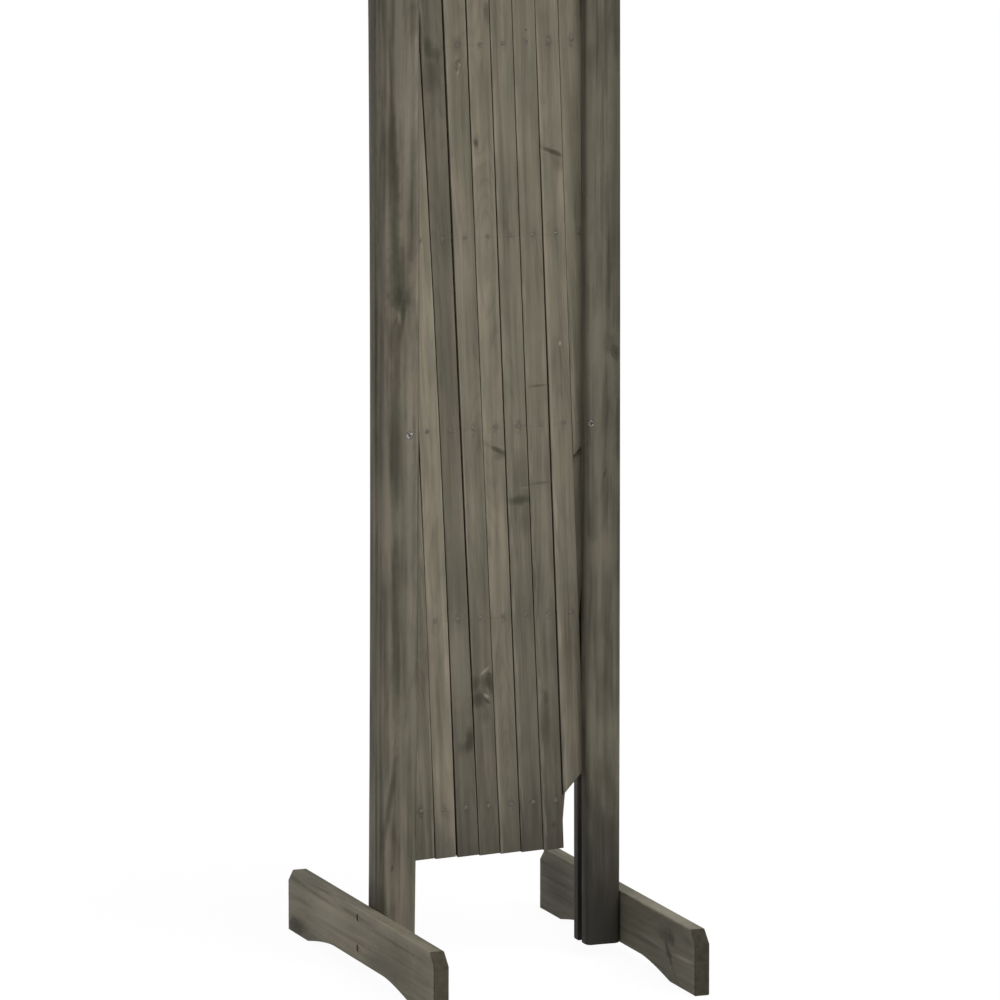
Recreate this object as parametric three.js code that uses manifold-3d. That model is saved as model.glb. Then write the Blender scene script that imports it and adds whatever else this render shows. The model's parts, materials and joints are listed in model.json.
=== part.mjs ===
// An expanding garden privacy screen of stained fir, shown pushed together.
//
// Two layers of thin slats are riveted at every crossing and open like a
// pair of lazy tongs. The front layer leans to the left as it rises, the
// back layer to the right. The lattice hangs between two grooved posts on
// one pivot screw a side, and each post is screwed to a foot.
//
// Millimetres, +Z up, the viewer at -Y. The floor is z = 0 and the origin
// is the middle of the floor under the closed screen.

import * as THREE from "three";
import { mergeVertices } from "three/addons/utils/BufferGeometryUtils.js";
import Module from "manifold-3d";

const wasm = await Module();
wasm.setup();

// ---- Driving dimensions -------------------------------------------------

// Lattice
const SLAT_COUNT = 9; // in each layer
const SLAT_WIDTH = 23.4;
const SLAT_THICKNESS = 5;
const SLAT_EDGE_GAP = 0.6; // level gap from one closed slat to the next
const LAYER_GAP = 0.4; // between the two layers
const OUTER_ROW = 2; // rows of rivets above, and below, the middle row
const RIVET_SPACING = 191; // along a front slat
const FRONT_LEAN = THREE.MathUtils.degToRad(2.46); // closed
const END_OVERHANG = 50; // of a slat past its outermost rivet
const PIVOT_TAIL = 33; // of a slat past the pivot screw, to its mitred tip
const MIDDLE_ROW_HEIGHT = 542; // of the pivot screws above the floor

// Posts
const POST_WIDTH = 40;
const POST_TOP = 1000;
const POST_BOTTOM = 12; // clear of the floor
const POST_CORNER_RADIUS = 5;
const GROOVE_DEPTH = 26;
const GROOVE_PLAY = 0.3; // on each side of the lattice
const PIVOT_INSET = 7.5; // of the pivot screw from the post's inner face

// Feet
const FOOT_LENGTH = 420;
const FOOT_THICKNESS = 16;
const FOOT_HEIGHT = 65;
const FOOT_CHAMFER = 13;
const POST_SETBACK = 5; // of the post's centre behind the foot's middle
const ARCH_HEIGHT = 11.5;
const ARCH_LENGTH = 298;
const ARCH_RAMP = 80; // length of the arch's curved end
const ARCH_RAMP_KNEE = 55; // where the ramp's first tangent meets the top

// Fasteners
const RIVET_SHANK_RADIUS = 1.5;
const RIVET_HEAD_RADIUS = 2.5;
const RIVET_HEAD_THICKNESS = 1;
const RIVET_PROUD = 0.1; // of a head above the slat's face
const PIVOT_SCREW_MARGIN = 4; // of wood behind the pivot screw's point
const SCREW_SHANK_RADIUS = 2;
const SCREW_HEAD_RADIUS = 3.6;
const SCREW_HEAD_HEIGHT = 2.4;
const SCREW_POINT = 4;
const SCREW_RECESS = 1.2; // of a foot screw's head below the foot's face
const PIVOT_HEAD_RECESS = 0.2;
const DRIVE_WIDTH = 0.9; // of each bar of the cross recess
const DRIVE_DEPTH = 1.3;
const FOOT_SCREW_HEIGHTS = { lower: 25, upper: 56 };
const WEB_MARGIN = 2; // of wood between a foot screw's point and the groove

// Fits and smoothness
const CLEARANCE = 0.3;
const ASSEMBLY_GAP = 0.3; // between a post and its foot
const CUT_OVERRUN = 1; // of a cutter past the face that it opens
const ROUND_STEPS = 10; // sides of rivets, screws and their holes
const CORNER_STEPS = 5;
const RAMP_STEPS = 8;

// ---- Worked-out sizes ---------------------------------------------------

// Each rivet row is level, so a back slat's rivets are as far apart in
// height as a front slat's, and its lean takes up the rest of the pitch.
const SLAT_PITCH = SLAT_WIDTH + SLAT_EDGE_GAP;
const ROW_RISE = RIVET_SPACING * Math.cos(FRONT_LEAN);
const BACK_LEAN = Math.atan(
  (SLAT_PITCH - RIVET_SPACING * Math.sin(FRONT_LEAN)) / ROW_RISE,
);

const LAYERS = {
  front: {
    side: -1,
    lean: FRONT_LEAN,
    spacing: RIVET_SPACING,
    colour: 0x78705f,
  },
  back: {
    side: 1,
    lean: BACK_LEAN,
    spacing: ROW_RISE / Math.cos(BACK_LEAN),
    colour: 0x6a6354,
  },
};

const MIDDLE_SLAT = (SLAT_COUNT - 1) / 2;
const PIVOT_X = MIDDLE_SLAT * SLAT_PITCH;
const POST_INNER_X = PIVOT_X - PIVOT_INSET;
const POST_OUTER_X = POST_INNER_X + POST_WIDTH;
const FOOT_INNER_X = POST_OUTER_X + ASSEMBLY_GAP;
const FOOT_OUTER_X = FOOT_INNER_X + FOOT_THICKNESS;
const LATTICE_HALF = SLAT_THICKNESS + LAYER_GAP / 2; // of its thickness
const GROOVE_HALF = LATTICE_HALF + GROOVE_PLAY;
const POST_HALF = POST_WIDTH / 2;
const FOOT_SCREW_LENGTH =
  FOOT_THICKNESS +
  ASSEMBLY_GAP +
  (POST_WIDTH - GROOVE_DEPTH) -
  WEB_MARGIN -
  SCREW_RECESS;
const PIVOT_SCREW_LENGTH = POST_WIDTH - PIVOT_SCREW_MARGIN - PIVOT_HEAD_RECESS;

const SIDES = { left: -1, right: 1 };
const COLOURS = { post: 0x6b6356, foot: 0x7d7666, steel: 0x8d8a82 };

// ---- Solid helpers ------------------------------------------------------

// A closed geometry as a solid that can be cut and joined.
function solidOf(geometry) {
  const bare = geometry.index ? geometry.toNonIndexed() : geometry.clone();
  bare.deleteAttribute("normal");
  bare.deleteAttribute("uv");
  const merged = mergeVertices(bare, 1e-4);
  return new wasm.Manifold(
    new wasm.Mesh({
      numProp: 3,
      vertProperties: merged.attributes.position.array,
      triVerts: new Uint32Array(merged.index.array),
    }),
  );
}

function geometryOf(solid) {
  const mesh = solid.getMesh();
  const geometry = new THREE.BufferGeometry();
  geometry.setAttribute(
    "position",
    new THREE.BufferAttribute(mesh.vertProperties, 3),
  );
  geometry.setIndex(new THREE.BufferAttribute(mesh.triVerts, 1));
  geometry.computeVertexNormals();
  return geometry;
}

function cut(base, cutters) {
  const left = cutters.reduce(
    (solid, cutter) => solid.subtract(solidOf(cutter)),
    solidOf(base),
  );
  return geometryOf(left);
}

function join(base, additions) {
  const whole = additions.reduce(
    (solid, addition) => solid.add(solidOf(addition)),
    solidOf(base),
  );
  return geometryOf(whole);
}

function named(name, geometry, colour, roughness = 0.8, metalness = 0) {
  const material = new THREE.MeshStandardMaterial({
    color: colour,
    roughness,
    metalness,
  });
  const mesh = new THREE.Mesh(geometry, material);
  mesh.name = name;
  return mesh;
}

const steelPiece = (name, geometry) =>
  named(name, geometry, COLOURS.steel, 0.4, 0.9);

// A turned solid about the Y axis, from [radius, y] points listed upwards.
const turned = (profile) =>
  new THREE.LatheGeometry(
    profile.map(([radius, y]) => new THREE.Vector2(radius, y)),
    ROUND_STEPS,
  );

const extruded = (points, depth) =>
  new THREE.ExtrudeGeometry(
    new THREE.Shape(points.map(([x, y]) => new THREE.Vector2(x, y))),
    { depth, bevelEnabled: false },
  );

// ---- Rivets -------------------------------------------------------------

// A crossing of front slat i and back slat j lies in row i - j, counted
// from the middle row upwards. Row 0's two outermost crossings are pivots.
function crossings() {
  const all = [];
  for (let i = 0; i < SLAT_COUNT; i++)
    for (let row = -OUTER_ROW; row <= OUTER_ROW; row++) {
      const j = i - row;
      if (j < 0 || j >= SLAT_COUNT) continue;
      const pivot = row === 0 && (i === 0 || i === SLAT_COUNT - 1);
      all.push({ front: i, back: j, row, pivot });
    }
  return all;
}

const rowHeight = (row) => MIDDLE_ROW_HEIGHT + row * ROW_RISE;

const crossingX = ({ front, row }) =>
  (front - MIDDLE_SLAT) * SLAT_PITCH -
  row * RIVET_SPACING * Math.sin(FRONT_LEAN);

// The top row's rivets are one piece with their front slats, save for the
// two that carry the fold across the lattice, at quarter and full width.
const ownRivet = ({ front, row }) =>
  row < OUTER_ROW || front % MIDDLE_SLAT === 0;

// A rivet with equal flat heads, its axis along Y, centred on the lattice.
function rivetProfile(from, grow = 0) {
  const reach = LATTICE_HALF + RIVET_PROUD;
  const under = reach - RIVET_HEAD_THICKNESS - grow;
  const shank = RIVET_SHANK_RADIUS + grow;
  const head = RIVET_HEAD_RADIUS + grow;
  const end = reach + (grow ? CUT_OVERRUN : 0);
  const rear = [
    [shank, under],
    [head, under],
    [head, end],
    [0, end],
  ];
  if (from !== undefined) return [[0, from], [shank, from], ...rear];
  return [
    [0, -end],
    [head, -end],
    [head, -under],
    [shank, -under],
    ...rear,
  ];
}

const rivetSolid = () => turned(rivetProfile());

// What a rivet clears in either layer.
const rivetHole = () => turned(rivetProfile(undefined, CLEARANCE));

// A rivet that is one piece with its front slat: the part behind that
// slat's middle, and the head that shows in front.
function fixedRivet() {
  const middle = -(LAYER_GAP + SLAT_THICKNESS) / 2;
  const face = LATTICE_HALF + RIVET_PROUD;
  const head = turned([
    [0, -face],
    [RIVET_HEAD_RADIUS, -face],
    [RIVET_HEAD_RADIUS, middle],
    [0, middle],
  ]);
  return [turned(rivetProfile(middle)), head];
}

const placedAt = (geometry, x, z) => geometry.translate(x, 0, z);

// ---- Slats --------------------------------------------------------------

// How many rivet rows a slat has above (up = 1) or below (up = -1) the
// middle row: the slats nearest a post are cut short where they lean to it.
function rowsBeyond(layer, index, up) {
  const leansLeftGoingThisWay = (layer === "front") === (up === 1);
  const slatsToPost = leansLeftGoingThisWay ? index : SLAT_COUNT - 1 - index;
  return Math.min(OUTER_ROW, slatsToPost);
}

// The two end corners, left then right, with heights along the slat. A
// short end is mitred at 45 degrees so that it clears the groove's floor
// when the screen is open: its tip is on the side away from the post.
function slatEnd(layer, index, up) {
  const { spacing } = LAYERS[layer];
  const half = SLAT_WIDTH / 2;
  const rows = rowsBeyond(layer, index, up);
  if (rows === OUTER_ROW) {
    const end = up * (OUTER_ROW * spacing + END_OVERHANG);
    return [
      [-half, end],
      [half, end],
    ];
  }
  const tip = rows === 0 ? PIVOT_TAIL : (rows + 1) * spacing;
  const tipOnRight = (layer === "front") === (up === 1);
  const heel = tip - SLAT_WIDTH;
  return [
    [-half, up * (tipOnRight ? heel : tip)],
    [half, up * (tipOnRight ? tip : heel)],
  ];
}

// The slat stands upright here, with its middle-row rivet at x = 0, z = 0.
function slatBlank(layer, index) {
  const [lowLeft, lowRight] = slatEnd(layer, index, -1);
  const [highLeft, highRight] = slatEnd(layer, index, 1);
  const outline = [lowLeft, lowRight, highRight, highLeft];
  const rearY =
    layer === "front" ? -LAYER_GAP / 2 : LAYER_GAP / 2 + SLAT_THICKNESS;
  return extruded(outline, SLAT_THICKNESS)
    .rotateX(Math.PI / 2)
    .translate(0, rearY, 0);
}

const pivotHole = () =>
  turned([
    [0, -POST_WIDTH],
    [SCREW_SHANK_RADIUS + CLEARANCE, -POST_WIDTH],
    [SCREW_SHANK_RADIUS + CLEARANCE, POST_WIDTH],
    [0, POST_WIDTH],
  ]);

function slat(layer, index) {
  const { side, lean, spacing, colour } = LAYERS[layer];
  const holes = [];
  const pins = [];
  for (const crossing of crossings()) {
    if (crossing[layer] !== index) continue;
    const z = crossing.row * spacing;
    if (crossing.pivot) holes.push(placedAt(pivotHole(), 0, z));
    else if (ownRivet(crossing) || layer === "back")
      holes.push(placedAt(rivetHole(), 0, z));
    else pins.push(...fixedRivet().map((piece) => placedAt(piece, 0, z)));
  }
  const drilled = cut(slatBlank(layer, index), holes);
  const whole = pins.length ? join(drilled, pins) : drilled;
  const mesh = named(`${layer}_slat_${index + 1}`, whole, colour);
  mesh.position.set(
    (index - MIDDLE_SLAT) * SLAT_PITCH,
    POST_SETBACK,
    MIDDLE_ROW_HEIGHT,
  );
  mesh.rotation.y = side * lean;
  return mesh;
}

function lattice() {
  const group = new THREE.Group();
  for (const layer of Object.keys(LAYERS))
    for (let index = 0; index < SLAT_COUNT; index++)
      group.add(slat(layer, index));
  for (const crossing of crossings()) {
    if (crossing.pivot || !ownRivet(crossing)) continue;
    const row = crossing.row + OUTER_ROW + 1;
    const rivet = steelPiece(
      `rivet_row_${row}_slat_${crossing.front + 1}`,
      rivetSolid(),
    );
    rivet.position.set(
      crossingX(crossing),
      POST_SETBACK,
      rowHeight(crossing.row),
    );
    group.add(rivet);
  }
  return group;
}

// ---- Screws -------------------------------------------------------------

// A countersunk wood screw along Y, its head's top at y = 0 and its point
// at y = -length. Grown, it is the hole that the screw needs.
function screwShape(length, grow = 0, headroom = 0) {
  const shank = SCREW_SHANK_RADIUS + grow;
  const head = SCREW_HEAD_RADIUS + grow;
  const profile = [
    [0, -length - grow],
    [shank, -length + SCREW_POINT - grow],
    [shank, -SCREW_HEAD_HEIGHT - grow],
    [head, -grow],
    [head, headroom],
    [0, headroom],
  ];
  const ring = headroom ? profile : profile.filter((_, i) => i !== 4);
  return turned(ring);
}

function crossRecess() {
  const span = SCREW_HEAD_RADIUS * 1.2;
  const bar = (x, z) =>
    new THREE.BoxGeometry(x, 2 * DRIVE_DEPTH, z);
  return [bar(span, DRIVE_WIDTH), bar(DRIVE_WIDTH, span)];
}

const screwSolid = (length) => cut(screwShape(length), crossRecess());

const screwHole = (length, recess) =>
  screwShape(length, CLEARANCE, recess + CUT_OVERRUN);

// Each of these turns a screw made along Y to point where it is driven.
const drivenBackwards = (geometry) => geometry.rotateX(Math.PI);
const drivenInwards = (geometry, side) =>
  geometry.rotateZ((-side * Math.PI) / 2);

const placedPivot = (geometry, side) =>
  drivenBackwards(geometry).translate(
    side * PIVOT_X,
    POST_SETBACK - POST_HALF + PIVOT_HEAD_RECESS,
    MIDDLE_ROW_HEIGHT,
  );

const placedFootScrew = (geometry, side, height) =>
  drivenInwards(geometry, side).translate(
    side * (FOOT_OUTER_X - SCREW_RECESS),
    POST_SETBACK,
    height,
  );

// ---- Posts --------------------------------------------------------------

function arc(centreX, centreY, radius, fromDegrees) {
  const points = [];
  for (let step = 0; step <= CORNER_STEPS; step++) {
    const angle = THREE.MathUtils.degToRad(
      fromDegrees + (90 * step) / CORNER_STEPS,
    );
    points.push([
      centreX + radius * Math.cos(angle),
      centreY + radius * Math.sin(angle),
    ]);
  }
  return points;
}

// The post's section, x outwards from its grooved inner face, y backwards.
function postSection() {
  const r = POST_CORNER_RADIUS;
  const near = -POST_HALF + r;
  const far = POST_HALF - r;
  return [
    ...arc(r, near, r, 180),
    ...arc(POST_WIDTH - r, near, r, 270),
    ...arc(POST_WIDTH - r, far, r, 0),
    ...arc(r, far, r, 90),
    [0, GROOVE_HALF],
    [GROOVE_DEPTH, GROOVE_HALF],
    [GROOVE_DEPTH, -GROOVE_HALF],
    [0, -GROOVE_HALF],
  ];
}

const footScrewHoles = (side) =>
  Object.values(FOOT_SCREW_HEIGHTS).map((height) =>
    placedFootScrew(screwHole(FOOT_SCREW_LENGTH, SCREW_RECESS), side, height),
  );

function post(name, side) {
  const section = postSection().map(([x, y]) => [
    side * (POST_INNER_X + x),
    POST_SETBACK + y,
  ]);
  const blank = extruded(section, POST_TOP - POST_BOTTOM).translate(
    0,
    0,
    POST_BOTTOM,
  );
  const pivot = placedPivot(
    screwHole(PIVOT_SCREW_LENGTH, PIVOT_HEAD_RECESS),
    side,
  );
  const drilled = cut(blank, [pivot, ...footScrewHoles(side)]);
  return named(`${name}_post`, drilled, COLOURS.post);
}

// ---- Feet ---------------------------------------------------------------

// One curved end of the arch, from its land up to the arch's top, as
// distances from the arch's end.
function archRamp() {
  const curve = new THREE.QuadraticBezierCurve(
    new THREE.Vector2(0, 0),
    new THREE.Vector2(ARCH_RAMP_KNEE, ARCH_HEIGHT),
    new THREE.Vector2(ARCH_RAMP, ARCH_HEIGHT),
  );
  return curve.getPoints(RAMP_STEPS);
}

// The foot's side view, x backwards and y up, its arch under the post.
function footOutline() {
  const end = FOOT_LENGTH / 2;
  const shoulder = FOOT_HEIGHT - FOOT_CHAMFER;
  const rear = POST_SETBACK + ARCH_LENGTH / 2;
  const fore = POST_SETBACK - ARCH_LENGTH / 2;
  const ramp = archRamp();
  return [
    [end, 0],
    [end, shoulder],
    [end - FOOT_CHAMFER, FOOT_HEIGHT],
    [-end + FOOT_CHAMFER, FOOT_HEIGHT],
    [-end, shoulder],
    [-end, 0],
    ...ramp.map((p) => [fore + p.x, p.y]),
    ...ramp.reverse().map((p) => [rear - p.x, p.y]),
  ];
}

function foot(name, side) {
  const lengthways = new THREE.Matrix4().makeBasis(
    new THREE.Vector3(0, 1, 0),
    new THREE.Vector3(0, 0, 1),
    new THREE.Vector3(1, 0, 0),
  );
  const nearX = side < 0 ? -FOOT_OUTER_X : FOOT_INNER_X;
  const blank = extruded(footOutline(), FOOT_THICKNESS)
    .applyMatrix4(lengthways)
    .translate(nearX, 0, 0);
  return named(`${name}_foot`, cut(blank, footScrewHoles(side)), COLOURS.foot);
}

// ---- Stands -------------------------------------------------------------

function stand(name, side) {
  const group = new THREE.Group();
  group.add(post(name, side), foot(name, side));
  const pivot = placedPivot(screwSolid(PIVOT_SCREW_LENGTH), side);
  group.add(steelPiece(`${name}_pivot_screw`, pivot));
  for (const [place, height] of Object.entries(FOOT_SCREW_HEIGHTS)) {
    const screw = placedFootScrew(screwSolid(FOOT_SCREW_LENGTH), side, height);
    group.add(steelPiece(`${name}_foot_screw_${place}`, screw));
  }
  return group;
}

const screen = new THREE.Group();
for (const [name, side] of Object.entries(SIDES)) screen.add(stand(name, side));
screen.add(lattice());

export default screen;
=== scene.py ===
"""A garden privacy screen of stained fir, shown pushed together.

Two layers of thin riveted slats fold like lazy tongs between two grooved
posts, each of which is screwed to a foot. Every board is swept along its
grain by one geometry node tree and drilled for its rivets or screws. The
stain, the grain, the knots, the marks of handling and a little painted shade
and highlight are worked out in the wood's own frame, so that they stay with a
board wherever the fold takes it.

Every size is in metres. +Z is up and the viewer of the front layer is at -Y.
"""

from __future__ import annotations

import json
import logging
import math
from dataclasses import dataclass, field
from enum import Enum
from typing import Iterable, Mapping, Sequence, Union

import bmesh
import bpy
from mathutils import Matrix, Vector

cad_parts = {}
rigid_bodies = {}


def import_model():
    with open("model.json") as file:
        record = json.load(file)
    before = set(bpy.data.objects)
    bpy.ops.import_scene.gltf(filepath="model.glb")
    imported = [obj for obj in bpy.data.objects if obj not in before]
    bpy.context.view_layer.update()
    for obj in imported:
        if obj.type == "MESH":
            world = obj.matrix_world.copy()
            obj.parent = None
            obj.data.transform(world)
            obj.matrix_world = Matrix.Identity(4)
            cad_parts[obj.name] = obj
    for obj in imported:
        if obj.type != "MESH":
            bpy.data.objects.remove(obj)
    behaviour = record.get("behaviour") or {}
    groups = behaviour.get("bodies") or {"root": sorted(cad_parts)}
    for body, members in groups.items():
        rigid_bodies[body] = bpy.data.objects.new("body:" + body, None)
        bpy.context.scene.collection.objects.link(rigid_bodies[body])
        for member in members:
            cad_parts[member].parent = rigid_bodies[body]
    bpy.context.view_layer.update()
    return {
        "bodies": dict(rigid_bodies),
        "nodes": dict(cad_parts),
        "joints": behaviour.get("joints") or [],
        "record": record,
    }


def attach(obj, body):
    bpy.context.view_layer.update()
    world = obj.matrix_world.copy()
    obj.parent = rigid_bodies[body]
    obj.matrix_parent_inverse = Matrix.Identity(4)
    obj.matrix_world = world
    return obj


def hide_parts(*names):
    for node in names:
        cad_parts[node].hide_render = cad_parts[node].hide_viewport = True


LOG = logging.getLogger("privacy_screen")

MM = 0.001
TIMBER = "timber"  # a board's own coordinates: across, through and along it

Triple = tuple[float, float, float]
Point = tuple[float, float]


class Layer(Enum):
    """The two layers of slats."""

    FRONT = "front"
    BACK = "back"


class Side(Enum):
    """The two stands, with the sign of their x."""

    LEFT = "left"
    RIGHT = "right"

    @property
    def sign(self) -> int:
        """-1 on the left and 1 on the right."""
        return -1 if self is Side.LEFT else 1


# ---- Sizes ---------------------------------------------------------------


@dataclass(frozen=True)
class LatticeSizes:
    """The driving sizes of the riveted lattice.

    Attributes:
        count: Slats in each layer.
        width: Width of a slat.
        thickness: Thickness of a slat.
        pitch: From one closed slat to the next.
        layer_gap: Between the two layers.
        outer_row: Rivet rows above, and below, the middle row.
        spacing: Between rivets along a front slat.
        lean: Of a closed front slat, to the left as it rises.
        overhang: Of a slat past its outermost rivet.
        pivot_tail: Of a slat past a pivot screw, to its mitred tip.
        pivot_bore: Radius of a slat's hole for the pivot screw.
        middle: Height of the middle rivet row.
        depth: The y of the lattice's middle.
    """

    count: int = 9
    width: float = 23.4 * MM
    thickness: float = 5 * MM
    pitch: float = 24 * MM
    layer_gap: float = 0.4 * MM
    outer_row: int = 2
    spacing: float = 191 * MM
    lean: float = math.radians(2.46)
    overhang: float = 50 * MM
    pivot_tail: float = 33 * MM
    pivot_bore: float = 2.2 * MM
    middle: float = 542 * MM
    depth: float = 5 * MM

    @property
    def rise(self) -> float:
        """Height from one rivet row to the next."""
        return self.spacing * math.cos(self.lean)

    @property
    def back_lean(self) -> float:
        """Lean of a closed back slat, to the right as it rises."""
        run = self.pitch - self.spacing * math.sin(self.lean)
        return math.atan(run / self.rise)

    @property
    def half(self) -> float:
        """Half the thickness of both layers together."""
        return self.thickness + self.layer_gap / 2

    def spacing_of(self, layer: Layer) -> float:
        """Rivet spacing along a slat of that layer."""
        if layer is Layer.FRONT:
            return self.spacing
        return self.rise / math.cos(self.back_lean)

    def turn_of(self, layer: Layer) -> float:
        """Turn about +Y that leans a slat of that layer."""
        return -self.lean if layer is Layer.FRONT else self.back_lean

    def place(self, index: int) -> Vector:
        """Where slat number index crosses the middle row."""
        x = (index - (self.count - 1) / 2) * self.pitch
        return Vector((x, self.depth, self.middle))

    def rows(self, layer: Layer, index: int) -> tuple[int, int]:
        """The lowest and the highest rivet row on a slat."""
        last = self.count - 1
        left, right = min(self.outer_row, index), min(self.outer_row, last - index)
        return (-right, left) if layer is Layer.FRONT else (-left, right)


@dataclass(frozen=True)
class RivetSizes:
    """A flush rivet with two flat heads.

    Attributes:
        shank: Radius of the shank.
        head: Radius of a head.
        head_thickness: Thickness of a head at its rim.
        proud: Height of a head's rim above the slat.
        dome: Height of a head's crown above its rim.
        dimple: Radius of the punch mark in the head.
    """

    shank: float = 1.5 * MM
    head: float = 2.1 * MM
    head_thickness: float = 0.9 * MM
    proud: float = -0.12 * MM
    dome: float = 0.2 * MM
    dimple: float = 0.9 * MM


@dataclass(frozen=True)
class ScrewSizes:
    """A countersunk cross-recess wood screw.

    Attributes:
        shank: Radius of the shank.
        head: Radius of the head.
        head_height: Height of the head's cone.
        point: Length of the point.
        thread_pitch: From one turn of the thread to the next.
        thread_radius: Radius of the ridge.
        drive_width: Width of the recess's two slots.
        drive_depth: Depth of the recess.
        clearance: Of the screw in its hole.
        headroom: Of the hole above the head.
    """

    shank: float = 1.7 * MM
    head: float = 3.5 * MM
    head_height: float = 2.4 * MM
    point: float = 4 * MM
    thread_pitch: float = 1.6 * MM
    thread_radius: float = 0.25 * MM
    drive_width: float = 0.9 * MM
    drive_depth: float = 1.3 * MM
    clearance: float = 0.35 * MM
    headroom: float = 4 * MM


@dataclass(frozen=True)
class StandSizes:
    """The driving sizes of a post and its foot.

    Attributes:
        post_width: Width and depth of the post.
        post_top: Height of its top.
        post_bottom: Height of its lower end.
        corner: Radius of its long corners.
        groove_depth: Depth of the groove in its inner face.
        groove_play: Gap on each side of the lattice in the groove.
        pivot_inset: Of the pivot screw from the inner face.
        pivot_recess: Of the pivot screw's head below the front face.
        pivot_cover: Wood behind the pivot screw's point.
        foot_length: Length of the foot.
        foot_width: Its height.
        foot_thickness: Its thickness.
        foot_corner: Radius of its long edges.
        chamfer: Of its two upper corners.
        arch_height: Height of the arch below it.
        arch_length: Length of the arch.
        arch_ramp: Length of the arch's curved ends.
        arch_knee: Where a ramp's first tangent meets the arch's top.
        gap: Between the post and the foot.
        screw_recess: Of a foot screw's head below the foot's face.
        screw_length: Of a foot screw.
        screw_heights: Of the two foot screws.
    """

    post_width: float = 40 * MM
    post_top: float = 1000 * MM
    post_bottom: float = 12 * MM
    corner: float = 5.5 * MM
    groove_depth: float = 26 * MM
    groove_play: float = 0.3 * MM
    pivot_inset: float = 7.5 * MM
    pivot_recess: float = 0.2 * MM
    pivot_cover: float = 4 * MM
    foot_length: float = 420 * MM
    foot_width: float = 65 * MM
    foot_thickness: float = 16 * MM
    foot_corner: float = 1.6 * MM
    chamfer: float = 13 * MM
    arch_height: float = 11.5 * MM
    arch_length: float = 298 * MM
    arch_ramp: float = 80 * MM
    arch_knee: float = 55 * MM
    gap: float = 0.3 * MM
    screw_recess: float = 1.2 * MM
    screw_length: float = 27 * MM
    screw_heights: Mapping[str, float] = field(
        default_factory=lambda: {"lower": 25 * MM, "upper": 56 * MM}
    )


# ---- Node trees ----------------------------------------------------------


class Term:
    """A node's output, which arithmetic can be written on."""

    def __init__(self, graph: Graph, socket: bpy.types.NodeSocket) -> None:
        """Keeps the output and the graph that it is part of."""
        self.graph = graph
        self.socket = socket

    def __add__(self, other: Value) -> Term:
        """The sum."""
        return self.graph.math("ADD", self, other)

    def __sub__(self, other: Value) -> Term:
        """The difference."""
        return self.graph.math("SUBTRACT", self, other)

    def __rsub__(self, other: Value) -> Term:
        """A number less this."""
        return self.graph.math("SUBTRACT", other, self)

    def __mul__(self, other: Value) -> Term:
        """The product."""
        return self.graph.math("MULTIPLY", self, other)

    def __truediv__(self, other: Value) -> Term:
        """The quotient, or 0 where other is 0."""
        return self.graph.math("DIVIDE", self, other)

    def __neg__(self) -> Term:
        """The opposite."""
        return self * -1.0

    def __abs__(self) -> Term:
        """The absolute value."""
        return self.graph.math("ABSOLUTE", self)

    def __lt__(self, other: Value) -> Term:
        """1 where this is less, else 0."""
        return self.graph.math("LESS_THAN", self, other)

    def __gt__(self, other: Value) -> Term:
        """1 where this is more, else 0."""
        return self.graph.math("GREATER_THAN", self, other)

    def at_least(self, other: Value) -> Term:
        """The larger of the two."""
        return self.graph.math("MAXIMUM", self, other)

    def at_most(self, other: Value) -> Term:
        """The smaller of the two."""
        return self.graph.math("MINIMUM", self, other)

    def length(self) -> Term:
        """The length of a vector."""
        return self.graph.math("LENGTH", self)

    def dot(self, other: Value) -> Term:
        """The dot product of two vectors."""
        return self.graph.math("DOT_PRODUCT", self, other)

    def ramp(
        self,
        low: float,
        high: float,
        start: Value = 0.0,
        end: Value = 1.0,
        smooth: bool = True,
    ) -> Term:
        """Maps low..high onto start..end, and holds the ends.

        Args:
            low: Where the ramp starts.
            high: Where it ends.
            start: What it gives below low.
            end: What it gives above high.
            smooth: Whether it eases in and out.

        Returns:
            The mapped number.
        """
        kind = "ShaderNodeMapRange"
        shape = "SMOOTHSTEP" if smooth else "LINEAR"
        ends = (low, high, start, end)
        return self.graph.out(kind, self, *ends, interpolation_type=shape)


Value = Union[Term, bpy.types.ID, bool, int, float, str, Sequence, None]


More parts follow.
